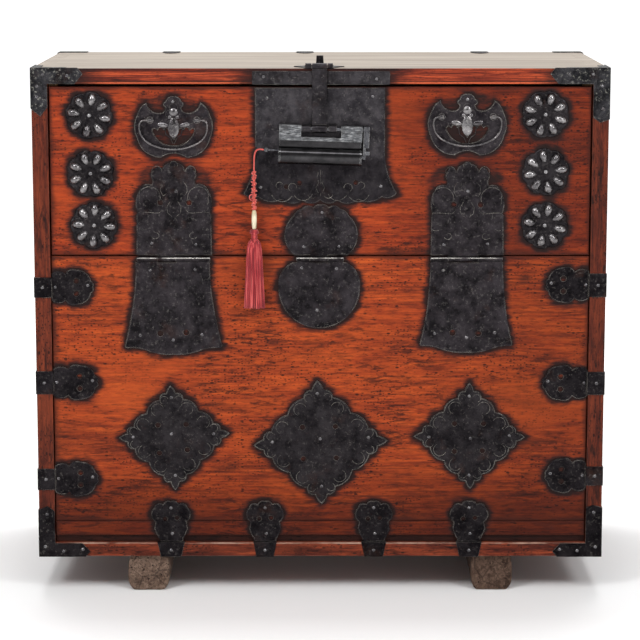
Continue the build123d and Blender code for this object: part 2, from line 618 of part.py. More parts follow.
# ------------------------------------------------------------------ corner irons
def corner_iron(sign, top, arm, leg, tip, tail, wide_arm, wide_leg):
    """An angle on the case front, with flanges folded round the side and over the top or under the bottom."""
    outer = sign * (half + case_iron)
    edge = -case_iron if top else case_height + case_iron
    inward = 1 if top else -1
    start = 0.0 if top else case_height

    def d(v):
        return start + inward * v

    path = [(outer, edge), (sign * (half - arm + 8), edge), (sign * (half - arm), d(wide_arm * 0.36)), (sign * (half - arm + 13), d(wide_arm)),
            (sign * (half - wide_leg), d(wide_arm)), (sign * (half - wide_leg), d(leg)), (sign * (half - wide_leg * 0.55), d(leg + tip)),
            (outer, d(leg + tail))]
    sheet(front, path, thickness=case_iron)
    z_leg = sorted((case_top - d(leg), case_top - edge))
    x0, x1 = sorted((sign * half, outer))
    with BuildSketch(facing_right(x0)) as face:
        with BuildLine():
            a, b = case_top - edge, case_top - d(leg + tail)
            step = case_top - d(wide_arm + 2)
            Polyline((front - case_iron, a), (front + 78, a), (front + 88, (a + step) / 2), (front + 76, step), (front + 26, step), (front + 24, b + (8 if top else -8)),
                     (front + 12, b), (front - case_iron, b), close=True)
        make_face()
    extrude(face.sketch, amount=x1 - x0)
    z0, z1 = sorted((case_top - start, case_top - edge))
    x0, x1 = sorted((outer, sign * (half - arm + 26)))
    deep = 12.0 if top else 7.0
    slab(x0, x1, front - case_iron, front + deep, z0, z1)
    x0, x1 = sorted((outer, sign * (half - 13)))
    slab(x0, x1, front - case_iron, front + 60.0, z0, z1)


for name, sign, top, arm, leg, tip, tail in (
    ("corner_iron_top_left", -1, True, 80.5, 60.0, 14.5, 2.0),
    ("corner_iron_top_right", 1, True, 92.5, 76.0, 8.0, 3.0),
    ("corner_iron_bottom_left", -1, False, 81.4, 74.0, 8.0, 2.0),
    ("corner_iron_bottom_right", 1, False, 78.0, 80.0, 4.0, 0.0),
):
    wide_arm = 24.0 if top else 21.0
    with BuildPart() as corner:
        corner_iron(sign, top, arm, leg, tip, tail, wide_arm, side_board)
        bored_front(corner_nails[name.replace("corner_iron_", "")], front - 2, nail_hole_r, 12)
    save(corner, name)

# Caps on the two back top corners and three straps over the back top edge.
with BuildPart() as back_corner_irons:
    for sign in (-1, 1):
        x0, x1 = sorted((sign * (half - 48), sign * (half + case_iron)))
        slab(x0, x1, back - 24, back + case_iron, case_top, case_top + case_iron)
        slab(x0, x1, back, back + case_iron, case_top - 42, case_top)
        x0, x1 = sorted((sign * half, sign * (half + case_iron)))
        slab(x0, x1, back - 46, back + case_iron, case_top - 42, case_top + case_iron)
save(back_corner_irons, "back_corner_irons")

back_strap_xs = (-257.0, -26.5, 275.0)
with BuildPart() as back_edge_straps:
    for x in back_strap_xs:
        with BuildSketch(Plane.XY.offset(case_top)):
            with BuildLine():
                Polyline((x - 15, back + case_iron), (x - 15, back - 24), (x - 9, back - 40), (x, back - 48), (x + 9, back - 40), (x + 15, back - 24), (x + 15, back + case_iron), close=True)
            make_face()
        extrude(amount=case_iron)
        slab(x - 15, x + 15, back, back + case_iron, case_top - 45, case_top + case_iron)
save(back_edge_straps, "back_edge_straps")

with BuildPart() as top_front_band:
    with BuildSketch(facing_front(front)):
        with Locations((1.2, case_top - 14.6)):
            RectangleRounded(214.4, 20.8, 2.0)
        with Locations(*[at(*p) for p in top_band_nails]):
            Circle(nail_hole_r, mode=Mode.SUBTRACT)
    extrude(amount=case_iron)
save(top_front_band, "top_front_band")

# ------------------------------------------------------------ hasp and its mount
pin_y = front - 6.5
pin_z = case_top - hasp_pin_drop
mount_left, mount_right = -23.3, 19.6
with BuildPart() as hasp_mount:
    with BuildSketch(Plane.XY.offset(case_top)):
        with BuildLine():
            Polyline((mount_left, front - 4), (mount_right, front - 4), (24.0, front + 16), (37.6, front + 38), (20.0, front + 52), (0, front + 74),
                     (-22.0, front + 54), (-41.6, front + 40), (-28.0, front + 16), close=True)
        make_face()
    extrude(amount=iron)
    bar_x(mount_left, strap_left - 0.6, pin_y, pin_z, hasp_knuckle_r)
    bar_x(strap_right + 0.6, mount_right, pin_y, pin_z, hasp_knuckle_r)
    slab(mount_left, strap_left - 0.6, pin_y, front, case_top, case_top + 2.2)
    slab(strap_right + 0.6, mount_right, pin_y, front, case_top, case_top + 2.2)
    slab(strap_left - 0.6, strap_right + 0.6, front - 6, front - 0.9, case_top - 1, case_top + 6, mode=Mode.SUBTRACT)
    bar_x(mount_left - 1, mount_right + 1, pin_y, pin_z, hasp_pin_r + running, mode=Mode.SUBTRACT)
    # a square staple head stands in the middle of the plate
    with BuildSketch(Plane.XY.offset(case_top + iron)):
        with Locations((-0.7, front + 35)):
            Rectangle(12.4, 9.0)
    extrude(amount=16.5, taper=3)
    bar_x(-8, 7, front + 35, case_top + 11.0, 2.0, mode=Mode.SUBTRACT)
save(hasp_mount, "hasp_mount")

with BuildPart() as hasp_pin:
    bar_x(mount_left - 0.8, mount_right + 0.8, pin_y, pin_z, hasp_pin_r)
save(hasp_pin, "hasp_pin")

# The strap has a rolled end at the pin and another at the padlock rod. Both rolls are open to the back.
with BuildPart() as hasp:
    slab(strap_left, strap_right, rod_y - strap_t / 2, rod_y + strap_t / 2, rod_z + 4.0, pin_z - 3.0)
    fillet(hasp.edges().filter_by(Axis.Z), 1.1)
    bar_x(strap_left, strap_right, pin_y, pin_z, hasp_knuckle_r)
    bar_x(strap_left, strap_right, rod_y, rod_z, loop_r)
    bar_x(strap_left - 1, strap_right + 1, pin_y, pin_z, hasp_pin_r + 0.45, mode=Mode.SUBTRACT)
    bar_x(strap_left - 1, strap_right + 1, rod_y, rod_z, loop_bore_r, mode=Mode.SUBTRACT)
    slab(strap_left - 1, strap_right + 1, pin_y, pin_y + 8, pin_z - hasp_pin_r - 0.55, pin_z + hasp_pin_r + 0.55, mode=Mode.SUBTRACT)
    slab(strap_left - 1, strap_right + 1, rod_y, rod_y + 10, rod_z - loop_bore_r - 0.02, rod_z + loop_bore_r + 0.02, mode=Mode.SUBTRACT)
save(hasp, "hasp")

# ---------------------------------------------------------------------- padlock
# It hangs on its own rod, a little out of level. Its frame: along the rod, then Y and up.
tilt = math.radians(padlock_tilt)
along = (math.cos(tilt), 0, -math.sin(tilt))


def lock_plane(u):
    return Plane(origin=(along[0] * u, rod_y, rod_z + along[2] * u), x_dir=(0, 1, 0), z_dir=along)


def lock_bar(u0, u1, y, v, r, mode=Mode.ADD):
    with BuildSketch(lock_plane(u0)) as face:
        with Locations((y, v)):
            Circle(r)
    extrude(face.sketch, amount=u1 - u0, mode=mode)


def lock_block(u0, u1, y0, y1, v0, v1, mode=Mode.ADD):
    with BuildSketch(lock_plane(u0)) as face:
        with Locations(((y0 + y1) / 2, (v0 + v1) / 2)):
            Rectangle(y1 - y0, v1 - v0)
    extrude(face.sketch, amount=u1 - u0, mode=mode)


barrel_y, barrel_v, barrel_r = -6.1, -42.2, 13.6
barrel_bore_r = 11.4
with BuildPart() as padlock_case:
    lock_block(padlock_left, padlock_right, -7.0, 6.3, -19.0, 5.8)
    chamfer(padlock_case.edges().filter_by(lambda e: e.length > 100), 0.7)
    lock_block(padlock_left + 1.2, padlock_right - 1.2, -2.5, 6.3, -36.0, -18.0)
    lock_bar(padlock_left, padlock_right, barrel_y, barrel_v, barrel_r)
    lock_bar(padlock_left, padlock_left + 2.2, barrel_y, barrel_v, barrel_r + 0.5)
    lock_bar(padlock_right - 2.2, padlock_right, barrel_y, barrel_v, barrel_r + 0.5)
    lock_bar(padlock_left + 2.6, padlock_right + 1, barrel_y, barrel_v, barrel_bore_r, mode=Mode.SUBTRACT)
    lock_block(-29.7, 32.9, -10.0, 10.0, -12.9, 8.0, mode=Mode.SUBTRACT)
    lock_bar(-50.0, padlock_right + 1, 0, 0, rod_r + running, mode=Mode.SUBTRACT)
    lock_bar(padlock_left - 1, padlock_left + 4, -6.1, -34.6, 1.6, mode=Mode.SUBTRACT)
save(padlock_case, "padlock_case")

with BuildPart() as padlock_shackle:
    lock_bar(-46.0, 70.0, 0, 0, rod_r)
    lock_block(67.9, 76.6, -5.4, 5.4, -28.0, 5.6)
    fillet(padlock_shackle.edges().filter_by(lambda e: abs(e.length - 8.7) < 0.05), 1.4)
    lock_block(67.9, 71.4, -8.8, -3.2, barrel_v - 2.8, -27.0)
    lock_bar(-38.0, 71.4, barrel_y, barrel_v, 2.6)
    lock_bar(61.5, 65.0, barrel_y, barrel_v, barrel_bore_r - 0.3)
    lock_bar(67.9, 77.4, barrel_y, -35.6, 4.3)
save(padlock_shackle, "padlock_shackle")

# Two leaf springs splay from the tip of the shackle's inner bar.
with BuildPart() as padlock_springs:
    for s in (-1, 1):
        with BuildSketch(Plane(origin=(0, rod_y + barrel_y - 3.0, rod_z), x_dir=along, z_dir=(0, -1, 0)).offset(-6.0)):
            with BuildLine():
                Polyline((-37.5, barrel_v + s * 2.7), (-30.0, barrel_v + s * 2.7), (22.0, barrel_v + s * 9.0), (22.0, barrel_v + s * 9.8), (-31.0, barrel_v + s * 3.5), (-37.5, barrel_v + s * 3.5), close=True)
            make_face()
        extrude(amount=6.0)
save(padlock_springs, "padlock_springs")

key_v = -34.6
with BuildPart() as padlock_key:
    lock_bar(-83.0, -46.0, barrel_y, key_v, 1.35)
    with BuildSketch(Plane(origin=(along[0] * -84.2, rod_y + barrel_y + 1.2, rod_z + along[2] * -84.2 + key_v), x_dir=along, z_dir=(0, -1, 0))):
        Circle(3.0)
        Circle(1.5, mode=Mode.SUBTRACT)
    extrude(amount=2.4)
save(padlock_key, "padlock_key")

# ----------------------------------------------------------------------- tassel
cord_y = rod_y + barrel_y
eye_x = along[0] * -84.2 + math.sin(tilt) * key_v
eye_z = rod_z + along[2] * -84.2 + key_v
cord_route = [(eye_x - 3.05, eye_z), (-96.6, eye_z + 2.2), (-102.4, eye_z - 4.6), (-103.4, eye_z - 19.6), (-103.2, eye_z - 46.0),
              (-103.6, eye_z - 80.0), (-103.2, eye_z - 118.0), (-103.6, eye_z - 156.0), (-103.4, eye_z - 193.0)]
cord_radii = []
runs = [math.dist(a, b) for a, b in zip(cord_route, cord_route[1:])]
turns = []
for a, b, c in zip(cord_route, cord_route[1:], cord_route[2:]):
    u = Vector(b[0] - a[0], 0, b[1] - a[1])
    v = Vector(c[0] - b[0], 0, c[1] - b[1])
    turns.append(u.get_angle(v))
for i, turn in enumerate(turns):
    cord_radii.append(0.45 * min(runs[i], runs[i + 1]) / math.tan(math.radians(turn) / 2))
print("cord runs", [round(r, 1) for r in runs], "turns", [round(t, 1) for t in turns], "radii", [round(r, 1) for r in cord_radii])
with BuildPart() as tassel_cord:
    with BuildLine() as cord_path:
        FilletPolyline(*[Vector(x, cord_y, z) for x, z in cord_route], radius=cord_radii)
    start = cord_path.wires()[0]
    with BuildSketch(Plane(origin=start @ 0, z_dir=start % 0)):
        Circle(cord_r)
    sweep(path=start)
cord_length = cord_path.wires()[0].length
print("cord length", round(cord_length, 1), "volume", round(tassel_cord.part.volume, 1), "expected", round(math.pi * cord_r**2 * cord_length, 1))
save(tassel_cord, "tassel_cord")

tassel_top = eye_z - 33.2
thread_bore = 1.75          # the cord runs down the middle of the knot, bead, head and skirt


def turned(profile, y_scale=None):
    """A turned piece about the tassel's own upright line, from (radius, distance below the tassel top)."""
    with BuildSketch(Plane(origin=(tassel_x, cord_y, tassel_top), x_dir=(1, 0, 0), z_dir=(0, -1, 0))) as face:
        with BuildLine():
            Polyline((thread_bore, -profile[0][1]), *[(r, -d) for r, d in profile], (thread_bore, -profile[-1][1]), close=True)
        make_face()
    revolve(face.sketch, axis=Axis((tassel_x, cord_y, tassel_top), (0, 0, 1)))


knot_profile = [(2.4, 0)]
for i in range(7):
    knot_profile += [(3.9 + 0.5 * (i % 2), 2.2 + 8.6 * i), (4.6 + 0.5 * (i % 3), 5.0 + 8.6 * i), (3.2, 8.2 + 8.6 * i)]
knot_profile += [(2.4, 61.4)]
with BuildPart() as tassel_knot:
    turned(knot_profile)
save(tassel_knot, "tassel_knot")
with BuildPart() as tassel_bead:
    turned([(2.6, 61.4), (3.5, 63.0), (4.1, 68.0), (4.2, 76.0), (3.9, 85.0), (3.3, 90.0), (2.6, 91.6)])
save(tassel_bead, "tassel_bead")
with BuildPart() as tassel_head:
    turned([(2.6, 91.6), (5.4, 93.0), (6.9, 96.5), (7.1, 100.0), (6.2, 104.5), (5.6, 106.0)])
save(tassel_head, "tassel_head")
with BuildPart() as tassel_skirt:
    with BuildSketch(Plane.XY.offset(tassel_top - 106.0)):
        with Locations((tassel_x, cord_y)):
            Ellipse(6.6, 6.0)
    with BuildSketch(Plane.XY.offset(tassel_top - 114.0)):
        with Locations((tassel_x, cord_y)):
            Ellipse(11.0, 8.6)
    with BuildSketch(Plane.XY.offset(tassel_top - 217.0)):
        with Locations((tassel_x, cord_y)):
            Ellipse(17.4, 12.2)
    loft(ruled=True)
    with BuildSketch(Plane.XY.offset(tassel_top - 105.0)):
        with Locations((tassel_x, cord_y)):
            Circle(thread_bore)
    extrude(amount=-57.5, mode=Mode.SUBTRACT)
save(tassel_skirt, "tassel_skirt")

# ------------------------------------------------------------------------ nails
with BuildPart() as door_nail_set:
    dome(all_door_nails, panel_face - iron, nail_head_r, nail_head_h)
save(door_nail_set, "door_nails")

with BuildPart() as case_nail_set:
    dome(fixed_nails + bottom_strap_nails[4:], panel_face - iron, nail_head_r, nail_head_h)
    dome([n for group in corner_nails.values() for n in group] + top_band_nails + band_nails_left + band_nails_right + band_nails_bottom,
         front - case_iron, nail_head_r, nail_head_h)
save(case_nail_set, "case_nails")

print("front", front, "back", back, "hinge z", hinge_z, "rod z", rod_z, "pin z", pin_z, "eye", eye_x, eye_z, "cord y", cord_y)
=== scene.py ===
import math
import random
import bpy
import bmesh
import numpy as np
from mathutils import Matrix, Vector, kdtree


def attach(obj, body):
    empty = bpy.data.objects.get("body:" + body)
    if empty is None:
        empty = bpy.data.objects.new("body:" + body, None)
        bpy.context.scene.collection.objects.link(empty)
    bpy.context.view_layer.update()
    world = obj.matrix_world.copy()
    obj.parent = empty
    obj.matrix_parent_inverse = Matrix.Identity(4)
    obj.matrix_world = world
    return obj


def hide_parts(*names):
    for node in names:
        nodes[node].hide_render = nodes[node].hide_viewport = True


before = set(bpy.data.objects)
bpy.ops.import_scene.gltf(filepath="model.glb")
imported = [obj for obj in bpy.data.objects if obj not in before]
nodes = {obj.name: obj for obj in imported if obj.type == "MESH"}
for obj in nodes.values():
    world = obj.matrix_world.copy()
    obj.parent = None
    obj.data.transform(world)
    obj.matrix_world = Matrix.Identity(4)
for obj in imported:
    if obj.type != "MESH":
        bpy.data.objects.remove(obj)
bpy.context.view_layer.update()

scene = bpy.context.scene
rng = random.Random(7)

FRONT, BACK, TOP = -0.2123, 0.2377, 0.838
FACE = FRONT + 0.004
SHEET = FACE - 0.0015


def srgb(r, g, b, a=1.0):
    out = []
    for c in (r, g, b):
        c = c / 255.0
        out.append(c / 12.92 if c <= 0.04045 else ((c + 0.055) / 1.055) ** 2.4)
    return (*out, a)


def at(x, drop, y=SHEET):
    """A point from millimetres across and millimetres below the case top."""
    return Vector((x / 1000.0, y, TOP - drop / 1000.0))


# ------------------------------------------------------------------ camera
cam_data = bpy.data.cameras.new("camera")
cam = bpy.data.objects.new("camera", cam_data)
scene.collection.objects.link(cam)
cam_data.sensor_width = 36.0
cam_data.lens = 2443.0 / 640.0 * 36.0
cam_data.shift_x = -0.3 / 640.0
cam_data.clip_start = 0.1
cam_data.clip_end = 50.0
cam.location = (0.0, FRONT - 3.8065, TOP + 0.2402)
cam.rotation_euler = (math.radians(90.0 - 9.49), 0.0, 0.0)
scene.camera = cam


# ------------------------------------------------------------ node helpers
class Graph:
    def __init__(self, name):
        self.mat = bpy.data.materials.new(name)
        self.mat.use_nodes = True
        self.nt = self.mat.node_tree
        self.bsdf = next(n for n in self.nt.nodes if n.type == "BSDF_PRINCIPLED")
        self.out = next(n for n in self.nt.nodes if n.type == "OUTPUT_MATERIAL")

    def put(self, socket, value):
        if isinstance(value, bpy.types.NodeSocket):
            self.nt.links.new(value, socket)
        else:
            socket.default_value = value

    def node(self, kind, props=None, **ins):
        n = self.nt.nodes.new(kind)
        for k, v in (props or {}).items():
            setattr(n, k, v)
        for k, v in ins.items():
            self.put(n.inputs[k.replace("_", " ")], v)
        return n

    def coord(self, scale=(1, 1, 1), offset=(0, 0, 0)):
        c = self.nt.nodes.new("ShaderNodeTexCoord")
        m = self.nt.nodes.new("ShaderNodeMapping")
        self.nt.links.new(c.outputs["Object"], m.inputs["Vector"])
        m.inputs["Scale"].default_value = scale
        m.inputs["Location"].default_value = offset
        return m.outputs["Vector"]

    def noise(self, vector, scale=1.0, detail=4.0, rough=0.5, distort=0.0):
        return self.node("ShaderNodeTexNoise", Vector=vector, Scale=scale, Detail=detail, Roughness=rough, Distortion=distort).outputs["Fac"]

    def math(self, op, a, b=0.0, c=None, clamp=False):
        n = self.nt.nodes.new("ShaderNodeMath")
        n.operation = op
        n.use_clamp = clamp
        self.put(n.inputs[0], a)
        self.put(n.inputs[1], b)
        if c is not None:
            self.put(n.inputs[2], c)
        return n.outputs[0]

    def step(self, value, lo, hi, smooth=True):
        n = self.nt.nodes.new("ShaderNodeMapRange")
        n.interpolation_type = "SMOOTHSTEP" if smooth else "LINEAR"
        self.put(n.inputs["Value"], value)
        n.inputs["From Min"].default_value = lo
        n.inputs["From Max"].default_value = hi
        return n.outputs["Result"]

    def mix(self, fac, a, b, blend="MIX"):
        n = self.nt.nodes.new("ShaderNodeMixRGB")
        n.blend_type = blend
        self.put(n.inputs["Fac"], fac)
        self.put(n.inputs["Color1"], a)
        self.put(n.inputs["Color2"], b)
        return n.outputs["Color"]

    def ramp(self, fac, stops):
        n = self.nt.nodes.new("ShaderNodeValToRGB")
        self.nt.links.new(fac, n.inputs["Fac"])
        el = n.color_ramp.elements
        while len(el) < len(stops):
            el.new(0.5)
        for e, (p, c) in zip(el, stops):
            e.position = p
            e.color = c
        return n.outputs["Color"]

    def attr(self, name):
        n = self.nt.nodes.new("ShaderNodeAttribute")
        n.attribute_name = name
        return n.outputs["Fac"]

    def bump(self, height, strength, distance, normal=None):
        n = self.nt.nodes.new("ShaderNodeBump")
        n.inputs["Strength"].default_value = strength
        n.inputs["Distance"].default_value = distance
        self.nt.links.new(height, n.inputs["Height"])
        if normal is not None:
            self.nt.links.new(normal, n.inputs["Normal"])
        return n.outputs["Normal"]

    def finish(self, color, rough, normal=None, metallic=0.0, coat=0.0, coat_rough=0.2, specular=0.5):
        self.put(self.bsdf.inputs["Base Color"], color)
        self.put(self.bsdf.inputs["Roughness"], rough)
        self.put(self.bsdf.inputs["Metallic"], metallic)
        self.put(self.bsdf.inputs["Coat Weight"], coat)
        self.put(self.bsdf.inputs["Coat Roughness"], coat_rough)
        self.put(self.bsdf.inputs["Specular IOR Level"], specular)
        if normal is not None:
            self.nt.links.new(normal, self.bsdf.inputs["Normal"])
        return self.mat


def wood(name, dark, mid, light, pit, axis="X", marked=False, fine=1.0, pits=1.0, rough=0.5, coat=0.015, worn=None, seed=0.0, painted_shade=None, lit_edge=None, halves=None, pale_above=None):
    """Old pine or zelkova: long grain, dark pits and streaks, charring where 'char' says, painted shade where 'shade'
    says, worn edges.
    """
    g = Graph(name)
    along = {"X": (1, 0, 0), "Y": (0, 1, 0), "Z": (0, 0, 1)}[axis]

    def stretched(length, across, off=0.0):
        return g.coord(tuple(length if a else across for a in along), (seed + off, seed * 0.7 + off, seed * 1.3))

    sway = g.noise(stretched(3.0, 12.0, 3.0), 1.0, 2.0)
    streak = g.noise(stretched(10.0, 112.0 * fine), 1.0, 9.0, 0.72, 0.7)
    rings = g.noise(stretched(2.6, 330.0 * fine, 1.7), 1.0, 4.0, 0.55, 0.3)
    mottle = g.noise(stretched(10.0, 29.0, 5.0), 1.0, 6.0, 0.64)
    grit = g.noise(stretched(70.0, 360.0, 7.7), 1.0, 4.0, 0.7)
    lace = g.noise(stretched(22.0, 300.0, 3.3), 1.0, 5.0, 0.65)
    cloud = g.noise(stretched(2.4, 7.0, 8.0), 1.0, 3.0, 0.5)
    color = g.ramp(streak, [(0.28, dark), (0.465, mid), (0.68, light)])
    color = g.mix(g.math("MULTIPLY", g.step(rings, 0.49, 0.64), g.math("MULTIPLY", g.step(sway, 0.40, 0.62), 0.60)), color, dark)
    color = g.mix(g.math("MULTIPLY", g.step(mottle, 0.40, 0.68), 0.42), color, g.mix(0.5, light, mid))
    color = g.mix(g.math("MULTIPLY", g.step(mottle, 0.42, 0.26), 0.55), color, dark)
    color = g.mix(g.math("MULTIPLY", g.step(cloud, 0.54, 0.74), 0.42), color, dark)
    color = g.mix(g.math("MULTIPLY", g.step(grit, 0.50, 0.66), 0.50), color, dark)
    color = g.mix(g.math("MULTIPLY", g.step(lace, 0.52, 0.64), 0.42), color, g.mix(0.4, dark, pit))
    color = g.mix(g.math("MULTIPLY", g.step(grit, 0.46, 0.30), 0.36), color, light)
    dash = g.noise(stretched(46.0, 250.0, 2.2), 1.0, 3.0, 0.55)
    where = g.noise(stretched(7.0, 15.0, 6.1), 1.0, 3.0)
    pit_mask = g.math("MULTIPLY", g.step(dash, 0.615, 0.69), g.step(where, 0.34, 0.56))
    spot = g.node("ShaderNodeTexVoronoi", {"feature": "F1"}, Vector=stretched(78.0, 150.0, 4.4), Scale=1.0, Randomness=1.0)
    pick = g.math("GREATER_THAN", g.node("ShaderNodeSeparateColor", Color=spot.outputs["Color"]).outputs[0], 0.62)
    dots = g.math("MULTIPLY", g.step(spot.outputs["Distance"], 0.30, 0.14), pick)
    tiny = g.node("ShaderNodeTexVoronoi", {"feature": "F1"}, Vector=stretched(190.0, 330.0, 1.4), Scale=1.0, Randomness=1.0)
    tiny_pick = g.math("GREATER_THAN", g.node("ShaderNodeSeparateColor", Color=tiny.outputs["Color"]).outputs[0], 0.42)
    patch = g.noise(g.coord((13, 13, 17), (seed, 4, 9)), 1.0, 4.0, 0.6)
    tiny_dots = g.math("MULTIPLY", g.math("MULTIPLY", g.step(tiny.outputs["Distance"], 0.42, 0.16), tiny_pick), g.step(patch, 0.42, 0.58))
    pit_mask = g.math("MAXIMUM", pit_mask, g.math("MULTIPLY", dots, g.step(patch, 0.36, 0.52)))
    pit_mask = g.math("MAXIMUM", pit_mask, g.math("MULTIPLY", tiny_dots, 1.0))
    pit_mask = g.math("MULTIPLY", pit_mask, 0.86 * pits)
    color = g.mix(pit_mask, color, pit)
    wisp = g.noise(stretched(25.0, 132.0, 6.6), 1.0, 6.0, 0.70, 0.5)
    wisp_where = g.noise(g.coord((6.5, 6.5, 9), (seed, 8, 2)), 1.0, 4.0, 0.6)
    smudge = g.math("MULTIPLY", g.step(wisp, 0.48, 0.62), g.step(wisp_where, 0.44, 0.60))
    color = g.mix(g.math("MULTIPLY", smudge, 0.85), color, g.mix(0.5, dark, pit))
    glow = g.noise(g.coord((5.0, 5.0, 8.5), (seed, 1, 6)), 1.0, 3.0, 0.55)
    color = g.mix(g.math("MULTIPLY", g.step(glow, 0.52, 0.70), 0.35), color, light)
    height = g.math("SUBTRACT", g.math("MULTIPLY", streak, 0.5), g.math("ADD", pit_mask, g.math("MULTIPLY", rings, 0.35)))
    roughness = g.math("ADD", rough - 0.08, g.math("MULTIPLY", mottle, 0.2))
    co = g.nt.nodes.new("ShaderNodeTexCoord")
    xyz = g.node("ShaderNodeSeparateXYZ", Vector=co.outputs["Object"])
    if painted_shade:
        # painted shade: the right side and the foot of the front are darkened, where less light falls
        for socket, lo, hi, amount in painted_shade:
            color = g.mix(g.math("MULTIPLY", g.step(g.math("ADD", xyz.outputs[socket], g.math("MULTIPLY", g.math("SUBTRACT", cloud, 0.5), 0.16)), lo, hi), amount), color, srgb(120, 104, 110), "MULTIPLY")
    if marked:
        fray = g.noise(g.coord((44, 180, 210), (seed, 2, 1)), 1.0, 5.0, 0.62)
        fray2 = g.noise(g.coord((20, 30, 60), (seed, 5, 3)), 1.0, 3.0, 0.6)
        amount = g.math("ADD", g.attr("char"), g.math("MULTIPLY", g.math("SUBTRACT", g.math("ADD", fray, fray2), 1.0), 1.15))
        halo = g.step(amount, 0.02, 0.60)
        soot = g.step(amount, 0.34, 0.86)
        # painted shade: darker along the board's rim and sides, where the boards sink into the frame
        shaded = g.math("ADD", g.attr("shade"), g.math("MULTIPLY", g.math("SUBTRACT", fray2, 0.5), 0.5))
        color = g.mix(g.math("MULTIPLY", g.step(shaded, 0.0, 1.0), 0.80), color, g.mix(0.55, dark, pit))
        color = g.mix(g.math("MULTIPLY", halo, 0.62), color, srgb(58, 22, 16))
        color = g.mix(g.math("MULTIPLY", soot, 0.95), color, srgb(24, 14, 13))
        color = g.mix(g.math("MULTIPLY", g.attr("spots"), 0.85), color, srgb(40, 18, 14))
        roughness = g.math("ADD", roughness, g.math("MULTIPLY", soot, 0.15))
    if worn is not None:
        bev = g.node("ShaderNodeBevel", {"samples": 4}, Radius=0.0016)
        geo = g.nt.nodes.new("ShaderNodeNewGeometry")
        dot = g.nt.nodes.new("ShaderNodeVectorMath")
        dot.operation = "DOT_PRODUCT"
        g.nt.links.new(bev.outputs["Normal"], dot.inputs[0])
        g.nt.links.new(geo.outputs["Normal"], dot.inputs[1])
        rub = g.noise(g.coord((30, 30, 30)), 1.0, 4.0)
        edge = g.math("MULTIPLY", g.step(dot.outputs["Value"], 0.99, 0.86), g.step(rub, 0.36, 0.62))
        color = g.mix(g.math("MULTIPLY", edge, 0.6), color, worn)
    if lit_edge is not None:
        # painted highlight: a pale line along one long front edge where the lip catches the light, broken up like
        # rubbed wear
        z0, z1, highlight_tint = lit_edge
        rub = g.noise(g.coord((22, 60, 60), (5, 1, 1)), 1.0, 5.0, 0.6)
        line = g.math("MULTIPLY", g.step(xyz.outputs["Z"], z0, z0 + 0.0006), g.step(xyz.outputs["Z"], z1, z1 - 0.0006))
        line = g.math("MULTIPLY", line, g.step(xyz.outputs["Y"], FRONT + 0.004, FRONT + 0.002))
        color = g.mix(g.math("MULTIPLY", line, g.step(rub, 0.34, 0.66)), color, highlight_tint)
    if pale_above is not None:
        color = g.mix(g.step(xyz.outputs["Z"], pale_above, pale_above + 0.0006), color, g.mix(streak, srgb(116, 106, 96), srgb(176, 166, 155)))
    if halves is not None:
        color = g.mix(g.math("MULTIPLY", g.math("GREATER_THAN", xyz.outputs["X"], 0.0), halves), color, srgb(150, 130, 120), "MULTIPLY")
        crack = g.node("ShaderNodeTexVoronoi", {"feature": "DISTANCE_TO_EDGE"}, Vector=g.coord((26, 8, 30), (3, 1, 7)), Scale=1.0, Randomness=1.0).outputs["Distance"]
        split = g.step(g.math("ADD", crack, g.math("MULTIPLY", g.math("SUBTRACT", mottle, 0.5), 0.08)), 0.035, 0.0)
        color = g.mix(g.math("MULTIPLY", split, 0.55), color, srgb(30, 21, 18))
        height = g.math("SUBTRACT", height, g.math("MULTIPLY", split, 0.9))
    normal = g.bump(height, 0.4, 0.0006)
    return g.finish(color, roughness, normal, coat=coat, coat_rough=0.28, specular=0.12)


